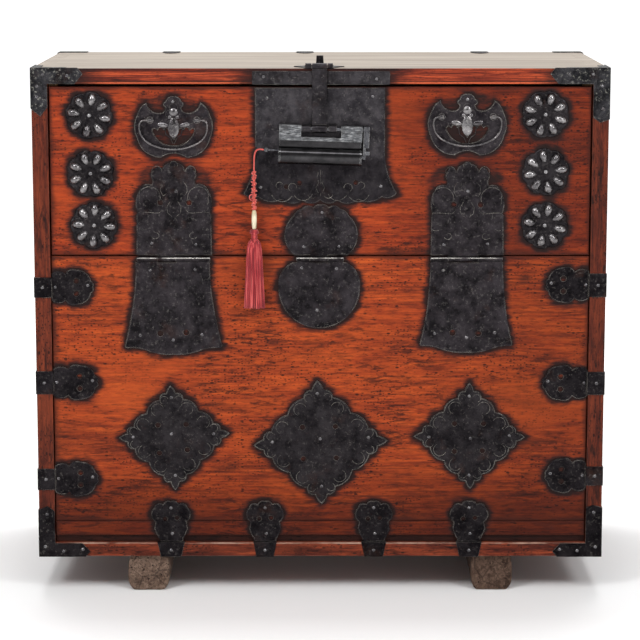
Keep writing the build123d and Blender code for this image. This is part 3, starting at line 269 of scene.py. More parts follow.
def iron(name, low, high, rub_color, rough=0.5, metallic=1.0, hammer=0.9, scale=1.0, edge_color=srgb(150, 144, 136), rusty=0.35, speck=0.6, polish_and_highlight=None, shade_below=None):
    """Hammered iron: dark scale, fine rubbed specks, filed bright edges and thin rust."""
    g = Graph(name)
    big = g.noise(g.coord((40 * scale,) * 3), 1.0, 7.0, 0.70)
    fine = g.noise(g.coord((260 * scale,) * 3, (3, 1, 2)), 1.0, 6.0, 0.7)
    dents = g.node("ShaderNodeTexVoronoi", {"feature": "SMOOTH_F1"}, Vector=g.coord((130 * scale,) * 3), Scale=1.0, Smoothness=0.7).outputs["Distance"]
    color = g.ramp(big, [(0.39, low), (0.62, high)])
    color = g.mix(g.math("MULTIPLY", g.step(fine, 0.55, 0.70), speck), color, rub_color)
    color = g.mix(g.math("MULTIPLY", g.step(fine, 0.46, 0.30), 0.6), color, low)
    bev = g.node("ShaderNodeBevel", {"samples": 4}, Radius=0.0009)
    geo = g.nt.nodes.new("ShaderNodeNewGeometry")
    dot = g.nt.nodes.new("ShaderNodeVectorMath")
    dot.operation = "DOT_PRODUCT"
    g.nt.links.new(bev.outputs["Normal"], dot.inputs[0])
    g.nt.links.new(geo.outputs["Normal"], dot.inputs[1])
    patchy = g.noise(g.coord((60 * scale,) * 3, (7, 7, 1)), 1.0, 4.0)
    edge = g.math("MULTIPLY", g.step(dot.outputs["Value"], 0.985, 0.80), g.step(patchy, 0.36, 0.60))
    color = g.mix(g.math("MULTIPLY", edge, 0.75), color, edge_color)
    rust = g.noise(g.coord((17 * scale,) * 3, (9, 3, 6)), 1.0, 6.0, 0.7)
    color = g.mix(g.math("MULTIPLY", g.step(rust, 0.56, 0.72), rusty), color, srgb(66, 44, 36))
    r = g.math("ADD", rough - 0.14, g.math("MULTIPLY", g.step(fine, 0.35, 0.65), 0.24))
    r = g.math("SUBTRACT", r, g.math("MULTIPLY", edge, 0.12))
    if shade_below is not None:
        # painted shade: the plate darkens below the padlock, in the lock's shade
        co = g.nt.nodes.new("ShaderNodeTexCoord")
        level = g.node("ShaderNodeSeparateXYZ", Vector=co.outputs["Object"]).outputs["Z"]
        color = g.mix(g.math("MULTIPLY", g.step(g.math("ADD", level, g.math("MULTIPLY", g.math("SUBTRACT", big, 0.5), 0.06)), shade_below[0], shade_below[1]), 0.80), color, srgb(158, 154, 156), "MULTIPLY")
    if polish_and_highlight is not None:
        # the rolled knuckles are rubbed bright along their front, and this band is also a painted highlight where they
        # catch the light
        z0, z1, front_y = polish_and_highlight
        co = g.nt.nodes.new("ShaderNodeTexCoord")
        xyz = g.node("ShaderNodeSeparateXYZ", Vector=co.outputs["Object"])
        rolled = g.math("MULTIPLY", g.step(xyz.outputs["Z"], z0, z0 + 0.0006), g.step(xyz.outputs["Z"], z1, z1 - 0.0006))
        rolled = g.math("MULTIPLY", rolled, g.step(xyz.outputs["Y"], front_y, front_y - 0.0006))
        rolled = g.math("MULTIPLY", rolled, g.step(patchy, 0.32, 0.62))
        color = g.mix(g.math("MULTIPLY", rolled, 0.85), color, srgb(158, 155, 150))
        r = g.math("SUBTRACT", r, g.math("MULTIPLY", rolled, 0.10))
    height = g.math("ADD", g.math("MULTIPLY", dents, 0.7), g.math("ADD", g.math("MULTIPLY", fine, 0.40), g.math("MULTIPLY", big, 0.9)))
    return g.finish(color, r, g.bump(height, hammer, 0.0014), metallic=metallic, specular=0.5)


def fibre(name, deep, mid, bright, strands=900.0, rough=0.6, sheen=0.4, run=90.0):
    g = Graph(name)
    fuzz = g.noise(g.coord((strands, strands, run)), 1.0, 3.0, 0.6)
    tone = g.noise(g.coord((55, 55, 14), (2, 4, 8)), 1.0, 3.0)
    color = g.ramp(fuzz, [(0.32, deep), (0.5, mid), (0.7, bright)])
    color = g.mix(g.math("MULTIPLY", tone, 0.5), color, mid)
    g.bsdf.inputs["Sheen Weight"].default_value = sheen
    return g.finish(color, rough, g.bump(fuzz, 0.5, 0.0003), specular=0.35)


# -------------------------------------------------------------- materials
M = {}
M["front"] = wood("front_lacquer", srgb(60, 21, 12), srgb(127, 43, 17), srgb(168, 67, 25), srgb(24, 9, 7), marked=True, rough=0.46, worn=srgb(140, 72, 52), seed=1.0,
                  painted_shade=[("X", 0.02, 0.26, 0.58)])
M["lower"] = wood("lower_lacquer", srgb(66, 24, 13), srgb(138, 51, 20), srgb(180, 78, 28), srgb(24, 9, 7), marked=True, rough=0.48, worn=srgb(118, 66, 50), seed=4.0,
                  painted_shade=[("X", 0.10, 0.36, 0.42), ("Z", 0.24, 0.09, 0.80)])
M["side"] = wood("side_lacquer", srgb(34, 13, 9), srgb(80, 30, 18), srgb(122, 54, 30), srgb(16, 8, 6), axis="Z", rough=0.52, worn=srgb(112, 70, 56), seed=8.0,
                 painted_shade=[("X", 0.05, 0.35, 0.20)], pale_above=TOP - 0.0010)
# the rail carries a painted highlight along the bottom board's top lip
M["rail"] = wood("rail_lacquer", srgb(24, 10, 8), srgb(80, 30, 19), srgb(148, 66, 38), srgb(16, 8, 6), axis="X", rough=0.52, worn=srgb(140, 104, 90), seed=12.0,
                 lit_edge=(TOP - 0.7606, TOP - 0.7574, srgb(160, 128, 112)))
# painted shade with dirt for the recessed foot of the plank
M["dark"] = wood("shadowed_foot", srgb(26, 14, 12), srgb(42, 20, 16), srgb(56, 27, 20), srgb(14, 8, 7), axis="X", rough=0.6, coat=0.0, seed=14.0)
M["inner"] = wood("bare_inside", srgb(112, 80, 54), srgb(150, 112, 78), srgb(176, 138, 98), srgb(78, 54, 38), axis="X", rough=0.7, coat=0.0, seed=16.0)
M["runner"] = wood("hewn_runner", srgb(62, 46, 38), srgb(104, 84, 72), srgb(134, 114, 100), srgb(34, 25, 21), axis="Y", rough=0.8, coat=0.0, worn=srgb(150, 128, 110), seed=20.0, halves=0.55, pits=1.2)
M["iron"] = iron("wrought_iron", srgb(29, 26, 29), srgb(56, 52, 55), srgb(104, 98, 96), rough=0.42)
M["strap"] = iron("strap_iron", srgb(19, 17, 19), srgb(38, 35, 37), srgb(96, 91, 89), rough=0.40)
M["hasp"] = iron("hasp_iron", srgb(32, 30, 32), srgb(56, 53, 56), srgb(112, 108, 106), rough=0.42, hammer=0.5)
M["petal"] = iron("polished_petal", srgb(70, 67, 69), srgb(138, 135, 136), srgb(224, 221, 216), rough=0.25, hammer=0.16, rusty=0.06, speck=0.45)
M["bat"] = iron("rubbed_bat", srgb(66, 63, 65), srgb(132, 129, 130), srgb(206, 203, 198), rough=0.27, hammer=0.4, rusty=0.15, speck=0.7)
M["iron_dark"] = iron("dark_iron", srgb(24, 22, 24), srgb(47, 44, 46), srgb(96, 91, 89), rough=0.40)
M["iron_grey"] = iron("grey_sheet_iron", srgb(38, 36, 38), srgb(64, 61, 64), srgb(116, 112, 110), rough=0.52, hammer=0.45, rusty=0.22)
M["lock_iron"] = iron("lock_sheet_iron", srgb(40, 38, 41), srgb(70, 67, 70), srgb(112, 108, 106), rough=0.50, hammer=0.6, rusty=0.22, shade_below=(TOP - 0.112, TOP - 0.150))
M["leaf"] = iron("leaf_iron", srgb(24, 22, 24), srgb(53, 49, 52), srgb(108, 104, 101), rough=0.42, polish_and_highlight=(0.5393 + 0.0006, 0.5393 + 0.0028, FRONT - 0.0026))
M["corner"] = iron("corner_iron", srgb(28, 28, 30), srgb(60, 59, 62), srgb(150, 148, 140), rough=0.38, hammer=1.0, scale=0.8, speck=0.75)
# painted shade: a darker copy of the corner iron for the two bottom corners, where less light falls
M["corner_low"] = iron("shaded_low_corner_iron", srgb(17, 15, 17), srgb(37, 34, 36), srgb(110, 106, 102), rough=0.40, hammer=1.0, scale=0.8, speck=0.5)
M["rim"] = iron("rubbed_rim", srgb(38, 37, 38), srgb(104, 101, 97), srgb(168, 164, 154), rough=0.32, hammer=0.25, rusty=0.5, scale=1.6)
M["boss"] = iron("polished_boss", srgb(104, 102, 104), srgb(156, 154, 155), srgb(190, 188, 184), rough=0.31, hammer=0.14, rusty=0.1)
M["nail"] = iron("rubbed_nail", srgb(70, 68, 70), srgb(116, 114, 116), srgb(160, 156, 152), rough=0.26, hammer=0.15, rusty=0.2)
M["wire"] = iron("rubbed_wire", srgb(76, 74, 76), srgb(116, 112, 112), srgb(156, 150, 146), rough=0.30, hammer=0.1, rusty=0.15)
M["knuckle"] = iron("rubbed_knuckle", srgb(60, 58, 60), srgb(110, 108, 108), srgb(170, 166, 160), rough=0.28, hammer=0.2, rusty=0.25)
M["steel"] = iron("worn_steel", srgb(62, 62, 66), srgb(108, 108, 112), srgb(168, 168, 166), rough=0.40, hammer=0.25, edge_color=srgb(215, 215, 212), rusty=0.15)
M["cord"] = fibre("coral_cord", srgb(126, 34, 30), srgb(188, 66, 56), srgb(222, 112, 94))
M["silk"] = fibre("red_silk", srgb(60, 4, 10), srgb(150, 24, 34), srgb(240, 120, 112), strands=430.0, sheen=0.2, run=16.0)

# The padlock's block is brushed steel painted bright, partly its own steel and partly a painted reflection of the
# overhead light; its barrel is dark and polished.
tilt = math.radians(1.85)
g = Graph("padlock_steel")
co = g.nt.nodes.new("ShaderNodeTexCoord")
xyz = g.node("ShaderNodeSeparateXYZ", Vector=co.outputs["Object"])
level = g.math("ADD", xyz.outputs["Z"], g.math("MULTIPLY", xyz.outputs["X"], math.tan(tilt)))
lower = g.step(level, TOP - 0.0935 - 0.0188, TOP - 0.0935 - 0.0192)
brushed = g.noise(g.coord((110, 420, 420), (1, 1, 1)), 1.0, 6.0, 0.68)
stain = g.noise(g.coord((70, 70, 70), (2, 5, 1)), 1.0, 6.0, 0.65)
# painted reflection: the bright ramp stands partly for overhead light glancing off the up-tilted block
block_steel_and_reflection = g.ramp(brushed, [(0.34, srgb(56, 57, 60)), (0.5, srgb(94, 95, 98)), (0.66, srgb(156, 157, 158))])
block_steel_and_reflection = g.mix(g.math("MULTIPLY", g.step(stain, 0.48, 0.66), 0.75), block_steel_and_reflection, srgb(56, 55, 56))
barrel = g.ramp(stain, [(0.35, srgb(26, 25, 27)), (0.65, srgb(56, 54, 56))])
bev = g.node("ShaderNodeBevel", {"samples": 4}, Radius=0.0008)
geo = g.nt.nodes.new("ShaderNodeNewGeometry")
dot = g.nt.nodes.new("ShaderNodeVectorMath")
dot.operation = "DOT_PRODUCT"
g.nt.links.new(bev.outputs["Normal"], dot.inputs[0])
g.nt.links.new(geo.outputs["Normal"], dot.inputs[1])
rim = g.step(dot.outputs["Value"], 0.985, 0.85)
steel = g.mix(lower, block_steel_and_reflection, barrel)
steel = g.mix(g.math("MULTIPLY", rim, 0.7), steel, srgb(190, 190, 190))
M["padlock"] = g.finish(steel, g.math("SUBTRACT", g.math("ADD", 0.36, g.math("MULTIPLY", stain, 0.16)), g.math("MULTIPLY", lower, 0.29)), g.bump(stain, 0.18, 0.0006), metallic=1.0, coat=0.4, coat_rough=0.07)

# The top board's upper face is paler than its edges.
g = Graph("top_lacquer")
geo = g.nt.nodes.new("ShaderNodeNewGeometry")
up = g.step(g.node("ShaderNodeSeparateXYZ", Vector=geo.outputs["Normal"]).outputs["Z"], 0.45, 0.8)
grain = g.noise(g.coord((2.2, 60, 60), (2, 2, 2)), 1.0, 7.0, 0.6, 0.3)
lines = g.noise(g.coord((1.4, 180, 60), (1, 5, 2)), 1.0, 3.0)
marks = g.noise(g.coord((9, 26, 12), (4, 4, 1)), 1.0, 6.0, 0.65)
edge_color = g.ramp(g.noise(g.coord((7, 60, 190), (2, 2, 2)), 1.0, 8.0, 0.72, 0.5), [(0.35, srgb(34, 13, 10)), (0.5, srgb(102, 35, 21)), (0.62, srgb(172, 72, 38))])
co = g.nt.nodes.new("ShaderNodeTexCoord")
level = g.node("ShaderNodeSeparateXYZ", Vector=co.outputs["Object"]).outputs["Z"]
# painted highlight on the bead near the top board's lower front edge, and painted shade in the narrow groove just above
# it
bead_highlight = g.math("MULTIPLY", g.step(level, TOP - 0.0262, TOP - 0.0248), g.step(level, TOP - 0.0205, TOP - 0.0215))
quirk_shade = g.math("MULTIPLY", g.step(level, TOP - 0.0212, TOP - 0.0205), g.step(level, TOP - 0.0186, TOP - 0.0194))
edge_color = g.mix(g.math("MULTIPLY", bead_highlight, 0.55), edge_color, srgb(196, 92, 56))
edge_color = g.mix(g.math("MULTIPLY", quirk_shade, 0.75), edge_color, srgb(44, 17, 13))
across = g.math("ABSOLUTE", g.math("ADD", g.node("ShaderNodeSeparateXYZ", Vector=co.outputs["Object"]).outputs["X"], 0.0))
across = g.math("ADD", across, g.math("MULTIPLY", g.math("SUBTRACT", g.noise(g.coord((60, 90, 200), (6, 1, 1)), 1.0, 5.0, 0.65), 0.5), 0.055))
sooty = g.math("MAXIMUM", g.step(across, 0.150, 0.108), g.step(across, 0.325, 0.375))
edge_color = g.mix(g.math("MULTIPLY", sooty, 0.88), edge_color, srgb(26, 14, 13))
flecks = g.noise(g.coord((120, 120, 400), (1, 6, 3)), 1.0, 4.0, 0.7)
edge_color = g.mix(g.math("MULTIPLY", g.step(flecks, 0.54, 0.68), 0.55), edge_color, srgb(38, 15, 12))
face_color = g.ramp(grain, [(0.28, srgb(116, 106, 96)), (0.5, srgb(150, 140, 129)), (0.72, srgb(172, 162, 151))])
face_color = g.mix(g.math("MULTIPLY", g.step(lines, 0.52, 0.68), 0.38), face_color, srgb(98, 85, 74))
face_color = g.mix(g.math("MULTIPLY", g.step(marks, 0.62, 0.78), 0.6), face_color, srgb(70, 48, 40))
M["top"] = g.finish(g.mix(up, edge_color, face_color), g.math("ADD", 0.34, g.math("MULTIPLY", marks, 0.2)), g.bump(grain, 0.25, 0.0004), coat=0.02, coat_rough=0.3, specular=0.12)

g = Graph("cream_bead")
veil = g.noise(g.coord((120, 120, 60)), 1.0, 4.0)
M["bead"] = g.finish(g.ramp(veil, [(0.35, srgb(176, 162, 128)), (0.65, srgb(214, 204, 178))]), 0.35, g.bump(veil, 0.2, 0.0003), coat=0.4)


def paint(obj, mat):
    obj.data.materials.clear()
    obj.data.materials.append(mat)


for o in nodes.values():
    paint(o, M["iron"])
for n in ("left_side_board", "right_side_board"):
    paint(nodes[n], M["side"])
paint(nodes["top_board"], M["top"])
paint(nodes["bottom_board"], M["rail"])
for n in ("back_upper_board", "back_lower_board", "door_stop_left", "door_stop_right"):
    paint(nodes[n], M["inner"])
for n in ("left_runner", "right_runner"):
    paint(nodes[n], M["runner"])
for n in ("padlock_shackle", "padlock_key", "padlock_springs"):
    paint(nodes[n], M["steel"])
paint(nodes["padlock_case"], M["padlock"])
for n in ("diamond_plate_left", "diamond_plate_centre", "diamond_plate_right", "side_straps_left", "side_straps_right", "bottom_straps",
          "centre_hinge_upper_leaf", "centre_hinge_lower_leaf", "hasp_mount"):
    paint(nodes[n], M["iron_dark"])
for n in ("left_hinge_upper_leaf", "left_hinge_lower_leaf", "right_hinge_upper_leaf", "right_hinge_lower_leaf", "centre_hinge_upper_leaf", "centre_hinge_lower_leaf"):
    paint(nodes[n], M["leaf"])
for n in ("corner_iron_top_left", "corner_iron_top_right", "back_corner_irons"):
    paint(nodes[n], M["corner"])
for n in ("corner_iron_bottom_left", "corner_iron_bottom_right"):
    paint(nodes[n], M["corner_low"])
for n in ("side_straps_left", "side_straps_right", "bottom_straps"):
    paint(nodes[n], M["strap"])
paint(nodes["lock_plate"], M["lock_iron"])
for n in ("top_front_band", "lock_rings"):
    paint(nodes[n], M["iron_grey"])
paint(nodes["hasp"], M["hasp"])
for n in ("handle_plate_left", "handle_plate_right"):
    paint(nodes[n], M["iron"])
paint(nodes["rosette_bosses"], M["boss"])
for n in ("door_nails", "case_nails"):
    paint(nodes[n], M["nail"])
for n in ("handle_bail_left", "handle_bail_right", "handle_posts"):
    paint(nodes[n], M["wire"])
for n in ("left_hinge_pin", "centre_hinge_pin", "right_hinge_pin"):
    paint(nodes[n], M["knuckle"])

# Filed edges on the irons and eased edges on the boards.
for name, o in nodes.items():
    width = None
    if "leaf" in name or "plate" in name or "strap" in name or "iron" in name or name in ("top_front_band", "hasp_mount"):
        width = 0.00035
    elif name in ("hasp", "padlock_case", "padlock_shackle", "padlock_key"):
        width = 0.0006
    elif "board" in name:
        width = 0.0018
    elif "runner" in name:
        width = 0.002
    if width:
        b = o.modifiers.new("eased", "BEVEL")
        b.width = width
        b.segments = 2
        b.limit_method = "ANGLE"
        b.angle_limit = math.radians(40)


# ------------------------------------------------------------ mesh helpers
def piece(name, verts, faces, mat, body, smooth=True, stands_for=()):
    me = bpy.data.meshes.new(name)
    me.from_pydata([tuple(v) for v in verts], [], faces)
    me.validate()
    me.update()
    o = bpy.data.objects.new(name, me)
    scene.collection.objects.link(o)
    me.materials.append(mat)
    if smooth:
        me.polygons.foreach_set("use_smooth", [True] * len(me.polygons))
    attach(o, body)
    if stands_for:
        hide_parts(*stands_for)
    return o


def tube(path, radius, sides=8, cap=True, squash=1.0):
    """Vertices and faces of a tube along points, its radius a number or one per point."""
    pts = [Vector(p) for p in path]
    n = len(pts)
    radii = [radius] * n if isinstance(radius, (int, float)) else list(radius)
    verts, faces = [], []
    ref = None
    for i, p in enumerate(pts):
        t = (pts[min(i + 1, n - 1)] - pts[max(i - 1, 0)]).normalized()
        if ref is None:
            ref = Vector((0, 1, 0)) if abs(t.y) < 0.9 else Vector((1, 0, 0))
        ref = (ref - t * ref.dot(t)).normalized()
        side = t.cross(ref)
        for k in range(sides):
            a = 2 * math.pi * k / sides
            verts.append(p + ref * (math.cos(a) * radii[i]) * squash + side * (math.sin(a) * radii[i]))
    for i in range(n - 1):
        for k in range(sides):
            a, b = i * sides + k, i * sides + (k + 1) % sides
            faces.append((a, b, b + sides, a + sides))
    if cap:
        faces.append(tuple(reversed(range(sides))))
        faces.append(tuple(range((n - 1) * sides, n * sides)))
    return verts, faces


def joined(parts):
    verts, faces = [], []
    for v, f in parts:
        base = len(verts)
        verts += list(v)
        faces += [tuple(i + base for i in q) for q in f]
    return verts, faces


def outline_points(names, y, gap=0.002):
    """Points along the outlines of the named flat irons, where they meet the board."""
    found = []
    for n in names:
        bm = bmesh.new()
        bm.from_mesh(nodes[n].data)
        bmesh.ops.remove_doubles(bm, verts=bm.verts, dist=1e-6)
        for e in bm.edges:
            a, b = e.verts[0].co, e.verts[1].co
            if abs(a.y - y) > 2e-4 or abs(b.y - y) > 2e-4:
                continue
            if len(e.link_faces) == 2 and e.calc_face_angle(0.0) < 0.6:
                continue
            count = max(1, int((b - a).length / gap))
            for i in range(count + 1):
                found.append(a.lerp(b, i / count))
        bm.free()
    return found


def quad_distance(x, z, corners):
    """How far inside a convex quadrilateral a point is, in metres; negative outside."""
    best = 1e9
    cx = sum(c[0] for c in corners) / 4
    cz = sum(c[1] for c in corners) / 4
    for (x0, z0), (x1, z1) in zip(corners, corners[1:] + corners[:1]):
        nx, nz = z1 - z0, x0 - x1
        ln = math.hypot(nx, nz)
        nx, nz = nx / ln, nz / ln
        if (cx - x0) * nx + (cz - z0) * nz < 0:
            nx, nz = -nx, -nz
        best = min(best, (x - x0) * nx + (z - z0) * nz)
    return best


def board(name, x0, x1, z0, z1, y0, y1, mat, body, irons, stands_for, spots=(), quads=(), ovals=(), step=0.0026, ease=0.0016, reach=0.0125, rim_shade_widths=(0.012, 0.012, 0.014, 0.010)):
    """A board whose front face carries the char round its irons, painted shade along its rim, knots and burns."""
    kd_pts = outline_points(irons, y0)
    kd = kdtree.KDTree(max(1, len(kd_pts)))
    for i, p in enumerate(kd_pts):
        kd.insert(p, i)
    kd.balance()

    def line(a, b):
        rim = [a, a + ease * 0.15, a + ease * 0.45, a + ease]
        inner = list(np.linspace(a + ease, b - ease, max(2, int((b - a) / step))))[1:-1]
        return rim + inner + [b - ease, b - ease * 0.45, b - ease * 0.15, b]

    xs, zs = line(x0, x1), line(z0, z1)
    verts, char, shade, spot = [], [], [], []
    wobble = random.Random(len(name))
    phase = [wobble.uniform(0, 6.28) for _ in range(8)]
    for z in zs:
        for x in xs:
            d = min(x - x0, x1 - x, z - z0, z1 - z)
            y = y0 + (ease - math.sqrt(max(0.0, ease * ease - (ease - min(d, ease)) ** 2)))
            verts.append((x, y, z))
            near = kd.find(Vector((x, y0, z)))[2] if kd_pts else 1.0
            c = max(0.0, 1.0 - near / reach)
            for q in quads:
                s = quad_distance(x, z, q)
                if s > -0.012:
                    c = max(c, min(1.0, 0.76 + s / 0.010))
            for ox, oz, rx, rz, k in ovals:
                q = math.sqrt(((x - ox) / rx) ** 2 + ((z - oz) / rz) ** 2)
                if q < 1.12:
                    c = max(c, k * min(1.0, (1.12 - q) / 0.22))
            char.append(c)
            # painted shade along the rim of the board, where it sinks into the frame
            ripple = 0.75 + 0.25 * math.sin(x * 37 + phase[0]) + 0.2 * math.sin(x * 91 + z * 60 + phase[1])
            rim = max(max(0.0, 1 - (x - x0) / (rim_shade_widths[0] * ripple)), max(0.0, 1 - (x1 - x) / (rim_shade_widths[1] * ripple)),
                      max(0.0, 1 - (z - z0) / (rim_shade_widths[2] * ripple)), max(0.0, 1 - (z1 - z) / (rim_shade_widths[3] * ripple)))
            shade.append(min(1.0, rim))
            s = 0.0
            for sx, sz, rx, rz, k in spots:
                q = ((x - sx) / rx) ** 2 + ((z - sz) / rz) ** 2
                s = max(s, k * max(0.0, 1.0 - q))
            spot.append(min(1.0, s))
    w, h = len(xs), len(zs)
    faces = [(j * w + i, j * w + i + 1, (j + 1) * w + i + 1, (j + 1) * w + i) for j in range(h - 1) for i in range(w - 1)]
    ring = [i for i in range(w)] + [j * w + w - 1 for j in range(1, h)] + [(h - 1) * w + i for i in range(w - 2, -1, -1)] + [j * w for j in range(h - 2, 0, -1)]
    base = len(verts)
    # the board's sides carry painted shade too
    for i in ring:
        v = verts[i]
        verts.append((v[0], y1, v[2]))
        char.append(0.0)
        shade.append(0.6)
        spot.append(0.0)
    m = len(ring)
    for k in range(m):
        a, b = ring[k], ring[(k + 1) % m]
        faces.append((a, base + k, base + (k + 1) % m, b))
    faces.append(tuple(base + k for k in range(m)))
    o = piece(name, verts, faces, mat, body, smooth=False, stands_for=stands_for)
    for label, values in (("char", char), ("shade", shade), ("spots", spot)):
        a = o.data.attributes.new(label, "FLOAT", "POINT")
        a.data.foreach_set("value", values)
    return o


def mm(*v):
    return tuple(x / 1000.0 for x in v)


def spot_at(x, drop, rx, rz, k=1.0):
    return (x / 1000.0, TOP - drop / 1000.0, rx / 1000.0, rz / 1000.0, k)


door_irons = ["rosette_plates_left", "rosette_plates_right", "handle_plate_left", "handle_plate_right", "lock_plate",
              "left_hinge_upper_leaf", "centre_hinge_upper_leaf", "right_hinge_upper_leaf"]
fixed_irons = ["left_hinge_lower_leaf", "centre_hinge_lower_leaf", "right_hinge_lower_leaf", "diamond_plate_left", "diamond_plate_centre",
               "diamond_plate_right", "side_straps_left", "side_straps_right", "bottom_straps"]
DIAMONDS = [[(-238.3, 501.8), (-144.5, 579.4), (-231.6, 673.0), (-321.1, 587.2)],
            [(-4.9, 493.9), (107.3, 591.7), (2.1, 695.2), (-106.4, 599.6)],
            [(237.0, 497.9), (325.6, 585.9), (239.4, 670.6), (149.0, 584.6)]]
quads = [[(x / 1000.0, TOP - s / 1000.0) for x, s in d] for d in DIAMONDS]

board("door_face", -0.423, 0.423, TOP - 0.293, TOP - 0.0285, FACE, FACE + 0.020, M["front"], "door", door_irons, ["door_board"],
      spots=[spot_at(-392, 214, 10, 4, 0.5), spot_at(120, 262, 7, 3, 0.6), spot_at(-302, 163, 6, 3, 0.9)],
      ovals=[spot_at(-229, 90, 66, 52, 0.66), spot_at(229.5, 87, 66, 52, 0.66), spot_at(-229, 96, 46, 34, 0.78), spot_at(229.5, 93, 46, 34, 0.78), spot_at(-229, 176, 60, 34, 0.66), spot_at(230, 178, 60, 34, 0.66)])
board("lower_face", -0.4238, 0.4238, TOP - 0.72295, TOP - 0.2946, FACE, FACE + 0.020, M["lower"], "case", fixed_irons, ["lower_front_board"],
      spots=[spot_at(-74, 432, 16, 7, 0.9), spot_at(-60, 431, 9, 11, 0.45), spot_at(322, 330, 13, 8, 0.8)], quads=quads)
board("plank_face", -0.4238, 0.4238, TOP - 0.747, TOP - 0.7232, FACE, FACE + 0.020, M["lower"], "case", ["bottom_straps"], ["lower_front_plank"],
      ease=0.0014, rim_shade_widths=(0.01, 0.01, 0.006, 0.004))


def box_mesh(x0, x1, y0, y1, z0, z1):
    v = [(x, y, z) for z in (z0, z1) for y in (y0, y1) for x in (x0, x1)]
    f = [(0, 2, 3, 1), (4, 5, 7, 6), (0, 1, 5, 4), (2, 6, 7, 3), (0, 4, 6, 2), (1, 3, 7, 5)]
    return v, f


# A very dark strip in the recess under the plank: painted shade, with some dirt, where the plank sits back above the
# bottom board.
v, f = box_mesh(-0.4238, 0.4238, FACE + 0.005, FACE + 0.0195, TOP - 0.758, TOP - 0.7245)
piece("plank_foot", v, f, M["dark"], "case", smooth=False)

# ------------------------------------------------------------ rosette plates
ROSETTES = {"rosette_plates_left": [(-360.6, 73.3, 10), (-359.8, 164.4, 25), (-355.4, 246.0, 4)],
            "rosette_plates_right": [(351.4, 71.7, 18), (352.9, 161.7, 36), (352.6, 246.2, 12)]}
for name, group in ROSETTES.items():
    parts = []
    for cx, drop, turn in group:
        seg, rows = 128, 26
        verts, faces = [], []
        for j in range(rows + 1):
            for i in range(seg):
                a = 2 * math.pi * i / seg
                rel = ((math.degrees(a) - turn + 22.5) % 45) - 22.5
                edge = 33.2 + 4.4 * math.sqrt(max(0.0, 1 - (rel / 22.6) ** 2))
                r = edge * (j / rows) ** 0.9
                x, s = cx + r * math.cos(a), drop + r * math.sin(a)
                near = min(math.hypot(x - cx - 25 * math.cos(math.radians(turn + 45 * k)), s - drop - 25 * math.sin(math.radians(turn + 45 * k))) for k in range(8))
                h = 1.5 + 0.55 * math.exp(-((near - 9.4) / 1.3) ** 2) + 0.5 * math.exp(-((r - 8.6) / 1.5) ** 2) + 0.35 * math.exp(-((r - 14.5) / 2.0) ** 2)
                h -= 1.0 * max(0.0, 1 - (edge - r) / 1.4)
                verts.append((x / 1000, FACE - h / 1000, TOP - s / 1000))
        for j in range(rows):
            for i in range(seg):
                k = (i + 1) % seg
                faces.append((j * seg + i, (j + 1) * seg + i, (j + 1) * seg + k, j * seg + k))
        rim = len(verts)
        for i in range(seg):
            vx = verts[rows * seg + i]
            verts.append((vx[0], FACE, vx[2]))
        for i in range(seg):
            k = (i + 1) % seg
            faces.append((rows * seg + i, rim + i, rim + k, rows * seg + k))
        parts.append((verts, faces))
    v, f = joined(parts)
    piece(name + "_embossed", v, f, M["iron_dark"], "door", stands_for=[name])

# ----------------------------------------------------------- chased relief
def outline_loops(node_name, y):
    """The closed outlines of a flat iron on the plane y, as lists of (x, z), longest first."""
    bm = bmesh.new()
    bm.from_mesh(nodes[node_name].data)
    bmesh.ops.remove_doubles(bm, verts=bm.verts, dist=2e-6)
    near = {}
    for e in bm.edges:
        a, b = e.verts
        if abs(a.co.y - y) > 1.5e-4 or abs(b.co.y - y) > 1.5e-4:
            continue
        if len(e.link_faces) == 2 and e.calc_face_angle(0.0) < 0.6:
            continue
        near.setdefault(a.index, []).append(b.index)
        near.setdefault(b.index, []).append(a.index)
    bm.verts.ensure_lookup_table()
    co = {i: (bm.verts[i].co.x, bm.verts[i].co.z) for i in near}
    bm.free()
    used, loops = set(), []
    for first in sorted(near):
        if first in used:
            continue
        path, here, before = [first], first, None
        used.add(first)
        while True:
            ahead = [k for k in near[here] if k != before and (k == path[0] or k not in used)]
            ahead = [k for k in ahead if k != path[0]] or ahead
            if not ahead or ahead[0] == path[0]:
                break
            before, here = here, ahead[0]
            used.add(here)
            path.append(here)
        if len(path) > 5:
            loops.append([co[i] for i in path])
    return sorted(loops, key=lambda p: -sum(math.dist(a, b) for a, b in zip(p, p[1:] + p[:1])))


def resampled(loop, gap):
    pts = loop + [loop[0]]
    out = []
    for a, b in zip(pts, pts[1:]):
        n = max(1, int(math.dist(a, b) / gap))
        out += [(a[0] + (b[0] - a[0]) * i / n, a[1] + (b[1] - a[1]) * i / n) for i in range(n)]
    return out


def inset(loop, amount):
    """The loop moved inward, with points that would fall too near its far side left out."""
    area2 = sum(a[0] * b[1] - b[0] * a[1] for a, b in zip(loop, loop[1:] + loop[:1]))
    sign = 1.0 if area2 > 0 else -1.0
    n, out = len(loop), []
    tree = kdtree.KDTree(n)
    for i, p in enumerate(loop):
        tree.insert((p[0], 0, p[1]), i)
    tree.balance()
    for i in range(n):
        a, b = loop[i - 2], loop[(i + 2) % n]
        tx, tz = b[0] - a[0], b[1] - a[1]
        ln = math.hypot(tx, tz) or 1.0
        q = (loop[i][0] - sign * tz / ln * amount, loop[i][1] + sign * tx / ln * amount)
        if tree.find((q[0], 0, q[1]))[2] > amount * 0.86:
            out.append(q)
    return out


def rim_piece(name, node_names, body, amount=0.0013, r=0.00062, least=0.05, per_node=9, y=SHEET, mat=None):
    parts = []
    for n in node_names:
        for loop in outline_loops(n, y)[:per_node]:
            length = sum(math.dist(a, b) for a, b in zip(loop, loop[1:] + loop[:1]))
            if length < least:
                continue
            line = inset(resampled(loop, 0.0012), amount)
            if len(line) < 12:
                continue
            line = line + line[:2]
            parts.append(tube([(x, y, z) for x, z in line], r, 6, squash=0.75))
    v, f = joined(parts)
    return piece(name, v, f, mat or M["rim"], body)


